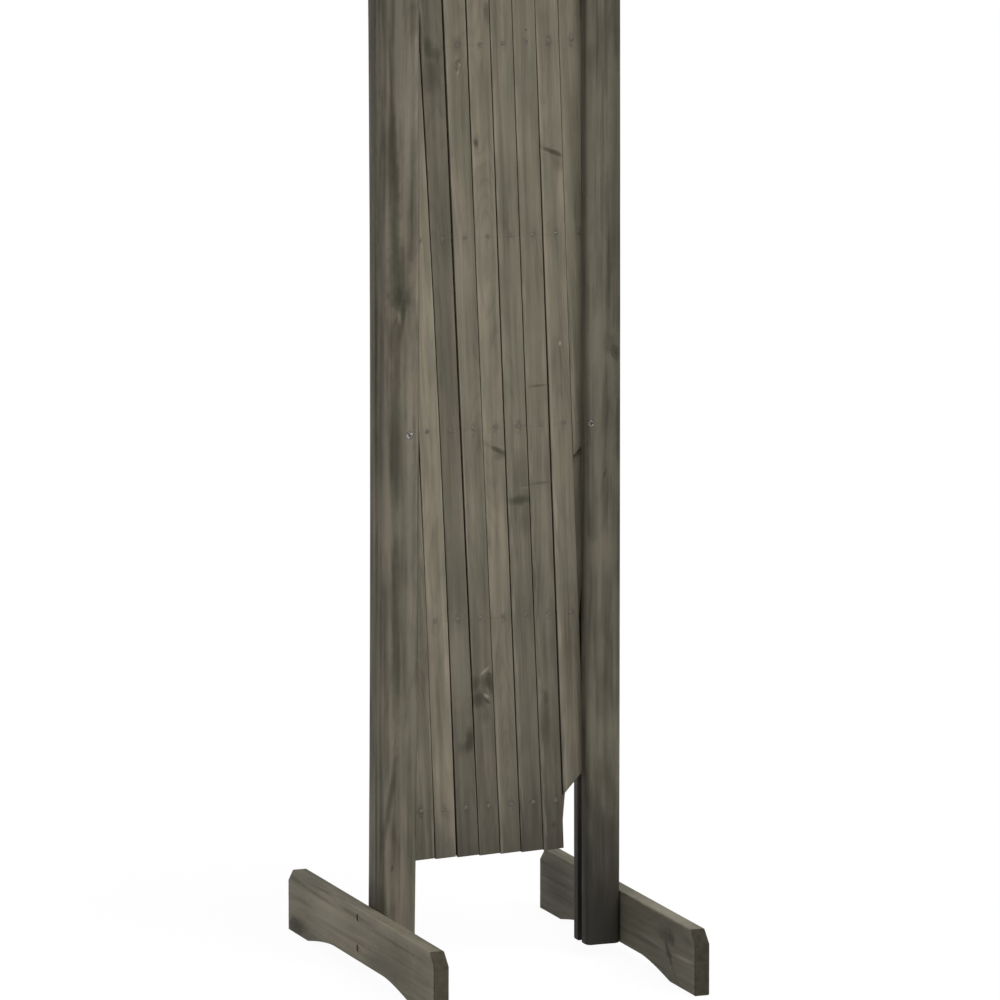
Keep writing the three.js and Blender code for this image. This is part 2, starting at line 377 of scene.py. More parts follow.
class Graph:
    """Writes a node tree down, one call for each node."""

    def __init__(self, tree: bpy.types.NodeTree) -> None:
        """Keeps the tree that the nodes go into."""
        self.tree = tree

    def feed(self, socket: bpy.types.NodeSocket, value: Value) -> None:
        """Links a socket to a term or to each of a list, or sets its value."""
        if isinstance(value, list):
            for part in value:
                self.feed(socket, part)
        elif isinstance(value, Term):
            self.tree.links.new(value.socket, socket)
        elif value is not None:
            socket.default_value = value

    def node(self, kind: str, *values: Value, **settings: Value) -> bpy.types.Node:
        """Adds a node.

        Args:
            kind: Blender's name for the node's type.
            values: For its open inputs in order; None leaves one as it is.
            settings: The node's own properties, and its inputs by their
                names, which have a capital first and _ for a space.

        Returns:
            The new node.
        """
        made = self.tree.nodes.new(kind)
        named = {name: value for name, value in settings.items() if name[0].isupper()}
        for name, setting in settings.items():
            if name not in named:
                setattr(made, name, setting)
        sockets = [socket for socket in made.inputs if socket.enabled]
        for socket, value in zip(sockets, values):
            self.feed(socket, value)
        for name, value in named.items():
            if value is not None:
                self.feed(made.inputs[name.replace("_", " ")], value)
        return made

    def out(self, kind: str, *values: Value, pick: str = "", **settings: Value) -> Term:
        """Adds a node as node() does, and gives one of its outputs.

        Args:
            kind: As in node().
            values: As in node().
            pick: The output's name; the first open one if it is empty.
            settings: As in node().

        Returns:
            The output.
        """
        outputs = self.node(kind, *values, **settings).outputs
        if pick:
            return Term(self, outputs[pick])
        return Term(self, next(socket for socket in outputs if socket.enabled))

    def math(self, operation: str, *values: Value) -> Term:
        """Arithmetic on numbers, or on vectors where any value is one.

        Among vectors, a plain number stands for three of itself.
        """
        if not any(is_vector(value) for value in values):
            return self.out("ShaderNodeMath", *values, operation=operation)
        wide = [(v,) * 3 if isinstance(v, (int, float)) else v for v in values]
        return self.out("ShaderNodeVectorMath", *wide, operation=operation)

    def combine(self, x: Value, y: Value, z: Value) -> Term:
        """A vector from its three parts."""
        return self.out("ShaderNodeCombineXYZ", x, y, z)

    def up(self, z: Value) -> Term:
        """A vector along +Z."""
        return self.combine(0.0, 0.0, z)

    def split(self, vector: Term) -> list[Term]:
        """The three parts of a vector."""
        parts = self.node("ShaderNodeSeparateXYZ", vector).outputs
        return [Term(self, part) for part in parts]

    def mix(self, share: Term, a: Term, b: Term) -> Term:
        """The number at a share of the way from a to b."""
        return self.out("ShaderNodeMix", share, a, b)

    def blend(self, factor: Value, a: Value, b: Value, how: str = "MIX") -> Term:
        """Lays colour b over colour a."""
        ends = [(*end, 1.0) if isinstance(end, tuple) else end for end in (a, b)]
        kind = "ShaderNodeMix"
        return self.out(kind, factor, *ends, data_type="RGBA", blend_type=how)

    def noise(
        self, at: Term, detail: float, roughness: float = 0.5, pick: str = "Fac"
    ) -> Term:
        """Noise whose cells are one unit of the vector wide."""
        kind = "ShaderNodeTexNoise"
        look = {"Scale": 1.0, "Detail": detail, "Roughness": roughness}
        return self.out(kind, at, pick=pick, **look)

    def moved(
        self, geometry: Term, at: Value, scale: Value = None, turn: Value = None
    ) -> Term:
        """Moves, stretches and turns some geometry."""
        kind = "GeometryNodeTransform"
        return self.out(kind, geometry, Translation=at, Rotation=turn, Scale=scale)

    def solid(self, operation: str, base: Term | None, others: list[Term]) -> Term:
        """Joins solids, or cuts some out of a base."""
        kind = "GeometryNodeMeshBoolean"
        how = {"operation": operation, "solver": "MANIFOLD"}
        return self.out(kind, Mesh_1=base, Mesh_2=others, **how)

    def shaded(self, mesh: Term, limit: float) -> Term:
        """Smooth shading, with edges sharper than the limit, in radians, kept."""
        angle = self.out("GeometryNodeInputMeshEdgeAngle", pick="Unsigned Angle")
        kind = "GeometryNodeSetShadeSmooth"
        whole = self.out(kind, mesh, True, True)
        return self.out(kind, whole, angle > limit, False, domain="EDGE")

    def surface(self, **inputs: Value) -> None:
        """Ends a material in a principled shader with these inputs."""
        shader = self.out("ShaderNodeBsdfPrincipled", **inputs)
        self.node("ShaderNodeOutputMaterial", Surface=shader)


def is_vector(value: Value) -> bool:
    """Whether a value has three parts."""
    if isinstance(value, Term):
        return value.socket.type in ("VECTOR", "RGBA")
    return isinstance(value, (tuple, Vector))


def cleared(owner: bpy.types.Material | bpy.types.World) -> Graph:
    """The graph of a material or world, without any nodes yet."""
    owner.use_nodes = True
    owner.node_tree.nodes.clear()
    return Graph(owner.node_tree)


class Blueprint:
    """A geometry node tree with named sizes, and what it makes of them."""

    def __init__(self, name: str, labels: Mapping[str, Sequence[str]]) -> None:
        """Starts the tree.

        Args:
            name: The tree's name.
            labels: The names of its inputs, by their kind.
        """
        tree = bpy.data.node_groups.new(name, "GeometryNodeTree")
        face = tree.interface
        for way in ("INPUT", "OUTPUT"):
            face.new_socket("Geometry", in_out=way, socket_type="NodeSocketGeometry")
        self.tree = tree
        self.graph = Graph(tree)
        self.identifiers = {
            label: face.new_socket(
                label, in_out="INPUT", socket_type="NodeSocket" + kind
            ).identifier
            for kind, names in labels.items()
            for label in names
        }
        source = tree.nodes.new("NodeGroupInput").outputs
        self.base = Term(self.graph, source[0])
        self.size = {label: Term(self.graph, source[label]) for label in self.identifiers}

    def close(self, geometry: Term) -> None:
        """Ends the tree: real geometry in the right material."""
        real = self.graph.out("GeometryNodeRealizeInstances", geometry)
        kind, material = "GeometryNodeSetMaterial", self.size["Material"]
        self.graph.node("NodeGroupOutput", self.graph.out(kind, real, Material=material))

    def make(
        self,
        name: str,
        sizes: Mapping[str, Value],
        base: bpy.types.Mesh | None = None,
    ) -> bpy.types.Object:
        """Runs the tree once.

        Args:
            name: Name of the piece.
            sizes: Values for the named inputs.
            base: The mesh that the tree starts from, if any.

        Returns:
            A plain mesh object at the origin.
        """
        carrier = bpy.data.objects.new(name, base or bpy.data.meshes.new(name))
        bpy.context.scene.collection.objects.link(carrier)
        maker = carrier.modifiers.new("maker", "NODES")
        maker.node_group = self.tree
        for label, value in sizes.items():
            maker[self.identifiers[label]] = value
        graph = bpy.context.evaluated_depsgraph_get()
        mesh = bpy.data.meshes.new_from_object(
            carrier.evaluated_get(graph), preserve_all_data_layers=True, depsgraph=graph
        )
        carrier.modifiers.clear()
        bpy.data.objects.remove(carrier)
        return shown(name, mesh)


def shown(name: str, mesh: bpy.types.Mesh) -> bpy.types.Object:
    """Puts a mesh into the scene as a piece of that name."""
    mesh.name = name
    piece = bpy.data.objects.new(name, mesh)
    bpy.context.scene.collection.objects.link(piece)
    return piece


def settled(
    piece: bpy.types.Object, body: str, nodes: Iterable[str]
) -> None:
    """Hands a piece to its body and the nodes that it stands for."""
    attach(piece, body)
    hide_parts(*nodes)
    LOG.info("%s: %d faces", piece.name, len(piece.data.polygons))


def merged(name: str, parts: Iterable[bpy.types.Object]) -> bpy.types.Object:
    """Joins some objects, which all sit at the origin, and removes them."""
    whole = bmesh.new()
    for part in parts:
        whole.from_mesh(part.data)
        bpy.data.objects.remove(part)
    mesh = bpy.data.meshes.new(name)
    whole.to_mesh(mesh)
    whole.free()
    return shown(name, mesh)


# ---- Finishes ------------------------------------------------------------


@dataclass(frozen=True)
class Mark:
    """A knot, stain, pale spot, painted shade or highlight, where it lies on a board.

    Attributes:
        across: From the board's middle.
        along: From the board's own zero, along the grain.
        width: Half-width across the grain.
        length: Half-length along the grain.
        depth: How dark it is; a negative one is pale.
        tilt: How far its long axis leans right, in radians.
        knot: Whether the grain runs round it.
    """

    across: float
    along: float
    width: float
    length: float
    depth: float
    tilt: float = 0.0
    knot: bool = False

    @classmethod
    def from_mm(
        cls,
        across: float,
        along: float,
        width: float,
        length: float,
        depth: float,
        tilt: float = 0.0,
        knot: bool = False,
    ) -> Mark:
        """A mark from sizes in millimetres and a tilt in degrees."""
        sizes = (value * MM for value in (across, along, width, length))
        return cls(*sizes, depth, math.radians(tilt), knot)


def marks_mm(*rows: Sequence[float]) -> tuple[Mark, ...]:
    """Marks from rows of what Mark.from_mm takes."""
    return tuple(Mark.from_mm(*row) for row in rows)


@dataclass(frozen=True)
class StainedWood:
    """Fir in a thin grey-brown stain.

    Attributes:
        name: The material's name.
        tone: Lightness, 1 for the usual board.
        warmth: From 0, olive, to 1, pinkish brown.
        seed: Moves the grain to another part of the log.
        pith: The log's centre from the board's middle, across and through.
        ring: Mean width of a growth ring.
        half_width: Half the board's width.
        half_thickness: Half its thickness.
        grain_axis: The direction of the grain in the scene.
        rivet_spacing: Between the rivets along it, 0 if it has none.
        contrast: Strength of its bands and clouds.
        fades: Heights between which a dark low end gives way, and how dark
            it is, for each one that it has.
        marks: What is to be seen on its front face.
    """

    name: str
    tone: float
    warmth: float
    seed: float
    pith: Point
    ring: float
    half_width: float
    half_thickness: float
    grain_axis: Triple = (0.0, 0.0, 1.0)
    rivet_spacing: float = 0.0
    contrast: float = 1.0
    fades: tuple[Triple, ...] = ()
    marks: tuple[Mark, ...] = ()

    DARK = (0.064, 0.0575, 0.040)
    OLIVE = (0.152, 0.139, 0.101)
    WARM = (0.183, 0.157, 0.117)
    # The knot colour below also inks dark marks, some of them painted shade; the pale one inks
    # pale marks and edges, some of them painted highlights.
    KNOT_AND_SHADE = (0.027, 0.025, 0.0145)
    INK = (0.014, 0.012, 0.0105)
    PALE = (0.30, 0.275, 0.215)
    RUST = (0.050, 0.036, 0.027)
    SAWN = (0.26, 0.25, 0.225)  # what a sawn end leaves of a colour

    def material(self) -> bpy.types.Material:
        """Builds the material."""
        made = bpy.data.materials.new(self.name)
        graph = cleared(made)
        place = graph.out("ShaderNodeAttribute", attribute_name=TIMBER, pick="Vector")
        rough = self._cells(place, 5 * MM, 9 * MM, 31.0)
        wobble = graph.noise(rough, 3.0) * 0.9 + 0.55
        spots = [self._distance(place, mark) * wobble for mark in self.marks]
        line = self._late_wood(place, spots)
        fibre = self._streaks(place, 0.7 * MM, 26 * MM, 3.0, 11.0)
        colour = self._handling_and_edge_highlight(place, self._stain(place, line, fibre))
        for mark, near in zip(self.marks, spots):
            if mark.knot:
                tail = self._distance(place, mark, 0.55, 0.22) * wobble
                colour = self._knotted(colour, mark.depth, near, tail)
            else:
                # Dark marks are stains and some painted shade; pale marks are pale spots and
                # some painted highlights.
                ink = self.KNOT_AND_SHADE if mark.depth > 0 else self.PALE
                soft = near.ramp(0.2, 1.2, abs(mark.depth), 0.0)
                colour = graph.blend(soft, colour, ink)
        end = self._end_grain(graph)
        colour = graph.blend(end * 0.95, colour, self._sawn(place, colour))
        bump = graph.out("ShaderNodeBump", 0.28, 0.35 * MM, Height=line * 0.6 + fibre)
        graph.surface(
            Base_Color=colour,
            Roughness=fibre * 0.22 + end * 0.1 + 0.62,
            Specular_IOR_Level=0.2,
            Normal=bump,
        )
        return made

    def _cells(self, place: Term, across: float, along: float, shift: float) -> Term:
        """The wood's coordinates in cells of a given size across and along."""
        cells = place * (1 / across, 1 / across, 1 / along)
        return cells + (self.seed + shift, 1.7 * self.seed - shift, 2.3 * self.seed)

    def _streaks(
        self, place: Term, across: float, along: float, detail: float, shift: float
    ) -> Term:
        """Noise drawn out along the grain."""
        return place.graph.noise(self._cells(place, across, along, shift), detail)

    def _distance(
        self, place: Term, mark: Mark, narrow: float = 1.0, short: float = 1.0
    ) -> Term:
        """How far a point is from a mark, in the mark's own radii.

        Args:
            place: The wood's coordinates.
            mark: The mark.
            narrow: Share of its distance across that counts.
            short: Share of its distance along that counts.

        Returns:
            The distance, 1 on the mark's rim.
        """
        offset = place - (mark.across, 0.0, mark.along)
        centre = (0.0, 0.0, 0.0)
        kind = "ShaderNodeVectorRotate"
        turned = place.graph.out(
            kind, offset, centre, -mark.tilt, rotation_type="Y_AXIS"
        )
        return (turned * (narrow / mark.width, 0.0, short / mark.length)).length()

    def _late_wood(self, place: Term, spots: Sequence[Term]) -> Term:
        """The dark lines of a wandering log's rings, which swell round knots."""
        graph = place.graph
        bend = graph.noise(self._cells(place, 46 * MM, 330 * MM, 3.0), 1.0, pick="Color")
        ripple = self._streaks(place, 9 * MM, 90 * MM, 2.0, 7.0)
        stray = (bend - 0.5) * (52 * MM, 52 * MM, 0.0)
        radial = place * (1.0, 1.0, 0.0) - (*self.pith, 0.0)
        radius = (radial + stray).length() + ripple * (2.2 * MM)
        for mark, near in zip(self.marks, spots):
            if mark.knot:
                swell = graph.math("EXPONENT", near * -0.9)
                radius = radius + swell * (2.4 * mark.width)
        phase = graph.math("FRACT", radius / self.ring)
        return phase.ramp(0.35, 0.9) * phase.ramp(0.9, 1.0, 1.0, 0.0)

    def _stain(self, place: Term, line: Term, fibre: Term) -> Term:
        """The stain as the wood took it up, in bands, clouds and fibres."""
        graph = place.graph
        band = self._streaks(place, 6 * MM, 190 * MM, 2.0, 17.0)
        cloud = self._streaks(place, 26 * MM, 75 * MM, 3.0, 23.0)
        blush = self._streaks(place, 15 * MM, 120 * MM, 2.0, 29.0)
        clouds = (band - 0.5) * 1.15 + (cloud - 0.5) * 0.95
        light = clouds * self.contrast + fibre * 0.28 - line * 0.11 + 0.58
        warm = blush.ramp(0.66 - 0.4 * self.warmth, 0.9 - 0.4 * self.warmth)
        body = graph.blend(warm, self.OLIVE, self.WARM)
        stained = graph.blend(light.ramp(0.1, 0.95, smooth=False), self.DARK, body)
        return graph.blend(1.0, stained, (self.tone,) * 3, "MULTIPLY")

    def _handling_and_edge_highlight(self, place: Term, colour: Term) -> Term:
        """Dirt at rivets, darkening towards the low end, and pale edges: stain rubbed thin
        there, with a painted highlight.
        """
        graph = place.graph
        across, through, along = graph.split(place)
        if self.rivet_spacing:
            colour = self._rivet_smears(place, colour, across, along)
        for low, high, depth in self.fades:
            ragged = self._streaks(place, 7 * MM, 60 * MM, 2.0, 41.0)
            height = (ragged - 0.5) * (0.7 * (high - low)) + along
            colour = graph.blend(height.ramp(low, high, depth, 0.0), colour, self.INK)
        # Pale edges: partly stain rubbed thin, partly a painted highlight along the rounded
        # edges.
        side = abs(across) - self.half_width
        corner = side.at_most(abs(through) - self.half_thickness)
        patches = self._streaks(place, 4 * MM, 35 * MM, 2.0, 43.0)
        edge_wear_and_highlight = corner.ramp(-1.8 * MM, -0.3 * MM) * patches.ramp(0.4, 0.7, 0.0, 0.18)
        return graph.blend(edge_wear_and_highlight, colour, self.PALE)

    def _rivet_smears(
        self, place: Term, colour: Term, across: Term, along: Term
    ) -> Term:
        """A rusty line across each rivet row, and dirt at each rivet."""
        graph = place.graph
        step = along / self.rivet_spacing
        row = graph.math("ROUND", step)
        from_row = (step - row) * self.rivet_spacing
        chance = graph.out(
            "ShaderNodeTexWhiteNoise",
            noise_dimensions="1D",
            W=row + (self.seed + 0.37),
            pick="Value",
        )
        patchy = self._streaks(place, 5 * MM, 3 * MM, 3.0, 37.0)
        rule = abs(from_row + 0.8 * MM).ramp(0.3 * MM, 1.8 * MM, 1.0, 0.0)
        rule = rule * patchy.ramp(0.46, 0.62, 0.0, 0.32)
        distance = graph.combine(across, 0.0, from_row * 0.55 + 0.5 * MM).length()
        soot = distance.ramp(1.2 * MM, 5.6 * MM, 0.62, 0.0) * patchy.ramp(0.34, 0.66)
        share = chance.ramp(0.0, 1.0, 0.2, 1.0, smooth=False)
        return graph.blend(rule.at_least(soot) * share, colour, self.RUST)

    def _knotted(self, colour: Term, depth: float, near: Term, tail: Term) -> Term:
        """Lays a ringed knot and its long shadow over the colour."""
        graph = colour.graph
        shade = tail.ramp(0.1, 1.0, depth * 0.55, 0.0)
        colour = graph.blend(shade, colour, self.DARK)
        grain = graph.math("SINE", near * 13.0) * 0.14 + 0.86
        heart = near.ramp(0.3, 1.1, depth, 0.0) * grain
        rim = abs(near - 0.8).ramp(0.0, 0.35, depth * 0.7, 0.0)
        return graph.blend(heart.at_least(rim), colour, self.KNOT_AND_SHADE)

    def _end_grain(self, graph: Graph) -> Term:
        """1 on a face that is cut across the grain, 0 along it."""
        normal = graph.out("ShaderNodeTexCoord", pick="Normal")
        return abs(normal.dot(self.grain_axis)).ramp(0.45, 0.6)

    def _sawn(self, place: Term, colour: Term) -> Term:
        """A sawn end, which drinks more stain and shows bright torn fibres."""
        graph = place.graph
        torn = graph.noise(place * (1 / (1.1 * MM)), 3.0).ramp(0.58, 0.76, 0.0, 0.26)
        dark = graph.blend(1.0, colour, self.SAWN, "MULTIPLY")
        return graph.blend(torn, dark, self.OLIVE)


@dataclass(frozen=True)
class DullSteel:
    """Small steel fasteners, dulled or stained over.

    Attributes:
        name: The material's name.
        cover: How much of it the dirt covers, from 0 to 1.
        roughness: Roughness of the bare metal.
        bright: Colour of the bare metal.
        dirt: Colour of the dirt or stain on it.
        grit: Size of the dirt's specks.
    """

    name: str
    cover: float
    roughness: float = 0.38
    bright: Triple = (0.46, 0.45, 0.43)
    dirt: Triple = (0.075, 0.066, 0.052)
    grit: float = 1.4 * MM

    def material(self) -> bpy.types.Material:
        """Builds the material."""
        made = bpy.data.materials.new(self.name)
        graph = cleared(made)
        place = graph.out("ShaderNodeTexCoord", pick="Object")
        fleck = graph.noise(place * (1 / self.grit), 4.0, 0.65)
        bare = 0.3 + 0.4 * self.cover
        dirty = fleck.ramp(bare - 0.08, bare + 0.08, 1.0, 0.0)
        graph.surface(
            Base_Color=graph.blend(dirty, self.bright, self.dirt),
            Metallic=dirty.ramp(0.2, 0.8, 0.95, 0.1),
            Roughness=dirty * 0.35 + self.roughness,
            Normal=graph.out("ShaderNodeBump", 0.3, 0.1 * MM, Height=fleck),
        )
        return made


# ---- Blueprints of the repeated pieces -----------------------------------


class BoardBlueprint(Blueprint):
    """A board swept along its grain from the outline of its section.

    Its width may narrow towards an arch and two chamfers, its edges wander a
    little, its ends may be mitred and are eased, its faces are roughened by
    shallow troughs, and it is drilled by a cutter object. Where it has a
    groove, of a given half-width, the groove's floor stays straight, so that
    what moves in it has room however its edges stray.
    """

    LABELS = {
        "Int": ("Rings",),
        "Float": (
            *("Width", "Thickness", "Low Left", "Low Right", "High Left", "High Right"),
            *("Wander", "Ease", "Chamfer", "Relief", "Seed"),
            *("Arch Height", "Arch Length", "Arch Ramp", "Arch Knee", "Arch Centre"),
            *("Groove", "Groove Floor", "Groove Depth"),
        ),
        "Vector": ("Left Shift", "Right Shift", "Place"),
        "Rotation": ("Turn",),
        "Object": ("Cutter",),
        "Material": ("Material",),
    }
    NO_ARCH = {"Arch Ramp": 1.0, "Arch Knee": 1.0}
    TROUGHS = ((3.2 * MM, 60 * MM, 0.55), (13 * MM, 170 * MM, 0.45))
    SHARP = 0.7  # radians

    def __init__(self) -> None:
        """Writes the tree down; its base is the section as a ring of edges."""
        super().__init__("board", self.LABELS)
        graph, size = self.graph, self.size
        line = graph.out("GeometryNodeCurvePrimitiveLine", (0, 0, 0), (0, 0, 1))
        path = graph.out("GeometryNodeResampleCurve", line, Count=size["Rings"])
        section = graph.out("GeometryNodeMeshToCurve", self.base)
        swept = graph.out("GeometryNodeCurveToMesh", path, section, Fill_Caps=True)
        dented = self._dented(self._shaped(swept))
        frame = graph.out("FunctionNodeCombineTransform", size["Place"], size["Turn"])
        placed = graph.out("GeometryNodeTransform", dented, mode="MATRIX", Transform=frame)
        cutter = graph.out("GeometryNodeObjectInfo", size["Cutter"], pick="Geometry")
        drilled = graph.solid("DIFFERENCE", placed, [cutter])
        point = graph.out("GeometryNodeInputPosition")
        inverse = graph.out("FunctionNodeInvertMatrix", frame)
        own = graph.out("FunctionNodeTransformPoint", point, inverse)
        kept = graph.out(
            "GeometryNodeStoreNamedAttribute",
            drilled,
            True,
            TIMBER,
            own,
            data_type="FLOAT_VECTOR",
        )
        self.close(graph.shaded(kept, self.SHARP))

    def _shaped(self, mesh: Term) -> Term:
        """Gives the swept section its length, ends, arch, chamfers and edges."""
        graph, size = self.graph, self.size
        x, y, step = graph.split(graph.out("GeometryNodeInputPosition"))
        last = size["Rings"] - 1.0
        ring = step * last
        run = ((ring - 1.0) / (last - 2.0)).at_least(0.0).at_most(1.0)
        first = ring < 0.5
        final = ring > last - 0.5
        share = x / size["Width"] + 0.5
        low = graph.mix(share, size["Low Left"], size["Low Right"]) + size["Ease"]
        high = graph.mix(share, size["High Left"], size["High Right"]) - size["Ease"]
        z = graph.mix(run, low, high) + (final - first) * size["Ease"]

        half = size["Width"] / 2.0
        reach = (size["High Left"] - z).at_most(z - size["Low Left"]).at_least(0.0)
        clipped = (size["Chamfer"] - reach).at_least(0.0)
        left = self._arch_rise(z) + self._edge_loss(z, 5.0) + self._bow("Left Shift", run)
        right = clipped + self._edge_loss(z, 9.0) - self._bow("Right Shift", run)
        strayed = graph.mix(share, left - half, half - right)
        x = graph.mix(self._groove_hold(x, y), strayed, x)

        def eased(value: Term, extent: str) -> Term:
            """Draws the end rings in by the ease."""
            return value * (1.0 - size["Ease"] * 2.0 / size[extent] * (first + final))

        spot = graph.combine(eased(x, "Width"), eased(y, "Thickness"), z)
        return graph.out("GeometryNodeSetPosition", mesh, True, spot)

    def _groove_hold(self, x: Term, y: Term) -> Term:
        """1 at the floor of the groove, down to 0 at its mouth and outside it."""
        size = self.size
        sunk = 1.0 - abs(x - size["Groove Floor"]) / size["Groove Depth"]
        return (abs(y) < size["Groove"] * 1.001) * sunk.at_least(0.0)

    def _edge_loss(self, z: Term, shift: float) -> Term:
        """How far a rough edge strays inwards at this height."""
        where = self.graph.combine(z * 9.0, self.size["Seed"] + shift, shift)
        return self.graph.noise(where, 1.0) * self.size["Wander"]

    def _bow(self, shift: str, run: Term) -> Term:
        """The parabola through an edge's shift at its low end, middle and top."""
        rest = 1.0 - run
        skew = rest - run
        shares = self.graph.combine(rest * skew, run * rest * 4.0, -(run * skew))
        return self.size[shift].dot(shares)

    def _arch_rise(self, z: Term) -> Term:
        """Height of the arch: a quadratic ramp at each end, level between."""
        size = self.size
        ramp, knee = size["Arch Ramp"], size["Arch Knee"]
        inside = size["Arch Length"] / 2.0 - abs(z - size["Arch Centre"])
        inside = inside.at_least(0.0).at_most(ramp)
        curve = knee * 2.0 - ramp
        root = self.graph.math("SQRT", knee * knee - curve * inside)
        step = (knee - root) / curve
        return step * (2.0 - step) * size["Arch Height"]

    def _dented(self, mesh: Term) -> Term:
        """Sinks shallow troughs into the faces, drawn out along the grain."""
        graph, seed = self.graph, self.size["Seed"]
        point = graph.out("GeometryNodeInputPosition")
        offset = graph.combine(seed, seed, seed)
        waves = [
            graph.noise(point * (1 / across, 1 / across, 1 / along) + offset, 2.0) * share
            for across, along, share in self.TROUGHS
        ]
        depth = (waves[0] + waves[1]) * self.size["Relief"]
        sunk = graph.out("GeometryNodeInputNormal") * -depth
        return graph.out("GeometryNodeSetPosition", mesh, True, Offset=sunk)


class RivetBlueprint(Blueprint):
    """A line of rivets along a slat, or the holes that they need.

    Its Grow input is the holes' clearance, and 0 for the rivets themselves.
    """

    LABELS = {
        "Int": ("First Row", "Rows", "Pivot Row"),
        "Float": (
            *("Spacing", "Half Length", "Shank", "Head", "Head Thickness", "Dome"),
            *("Dimple", "Grow", "Pivot"),
        ),
        "Rotation": ("Turn",),
        "Vector": ("Place",),
        "Material": ("Material",),
    }
    NO_ROW = 99
    SIDES = 24
    THROUGH = 30 * MM  # length of the pivot's bore, more than both layers
    SHARP = 0.6  # radians

    def __init__(self) -> None:
        """Writes the tree down."""
        super().__init__("rivets", self.LABELS)
        graph, size = self.graph, self.size
        solid = size["Grow"] < 1e-9
        line = graph.out(
            "GeometryNodeMeshLine",
            mode="OFFSET",
            Count=size["Rows"],
            Start_Location=graph.up(size["First Row"] * size["Spacing"]),
            Offset=graph.up(size["Spacing"]),
        )
        height = graph.split(graph.out("GeometryNodeInputPosition"))[2]
        plain = abs(height - size["Pivot Row"] * size["Spacing"]) > 1 * MM
        at_pivot = (1.0 - plain) * (1.0 - solid)
        bore = graph.out(
            "GeometryNodeMeshCylinder", self.SIDES, 1, 1, size["Pivot"], self.THROUGH
        )
        sets = [
            graph.out(
                "GeometryNodeInstanceOnPoints",
                line,
                where,
                piece,
                Rotation=(math.pi / 2, 0.0, 0.0),
            )
            for where, piece in ((plain, self._rivet(solid)), (at_pivot, bore))
        ]
        both = graph.out("GeometryNodeJoinGeometry", sets)
        real = graph.out("GeometryNodeRealizeInstances", both)
        placed = graph.moved(real, size["Place"], turn=size["Turn"])
        self.close(graph.shaded(placed, self.SHARP))

    def _rivet(self, solid: Term) -> Term:
        """One rivet on the Z axis, or its hole where solid is 0."""
        graph, size, sides = self.graph, self.size, self.SIDES
        shank, head = size["Shank"] + size["Grow"], size["Head"] + size["Grow"]
        reach = (1.0 - solid) * (1 * MM) + size["Half Length"]
        under = size["Half Length"] - size["Head Thickness"] - size["Grow"]
        middle = (reach + under) / 2.0
        cylinder, ball = "GeometryNodeMeshCylinder", "GeometryNodeMeshUVSphere"
        disc = graph.out(cylinder, sides, 1, 1, head, reach - under)
        crown = graph.out(ball, sides, 12, 1.0)
        pit = graph.out(ball, 16, 8, size["Dimple"])
        broad = (head * 0.93 * solid).at_least(0.2 * MM)
        pieces = [graph.out(cylinder, sides, 1, 1, shank, under + middle)]
        pits = []
        for way in (-1.0, 1.0):
            domed = graph.combine(broad, broad, size["Dome"])
            pieces.append(graph.moved(disc, graph.up(middle * way)))
            pieces.append(graph.moved(crown, graph.up(reach * way), domed))
            high = (reach + size["Dimple"] * 0.75) * way
            pits.append(graph.moved(pit, graph.up(high)))
        whole = graph.solid("UNION", None, pieces)
        marked = graph.solid("DIFFERENCE", whole, pits)
        return graph.out(
            "GeometryNodeSwitch", solid, whole, marked, input_type="GEOMETRY"
        )


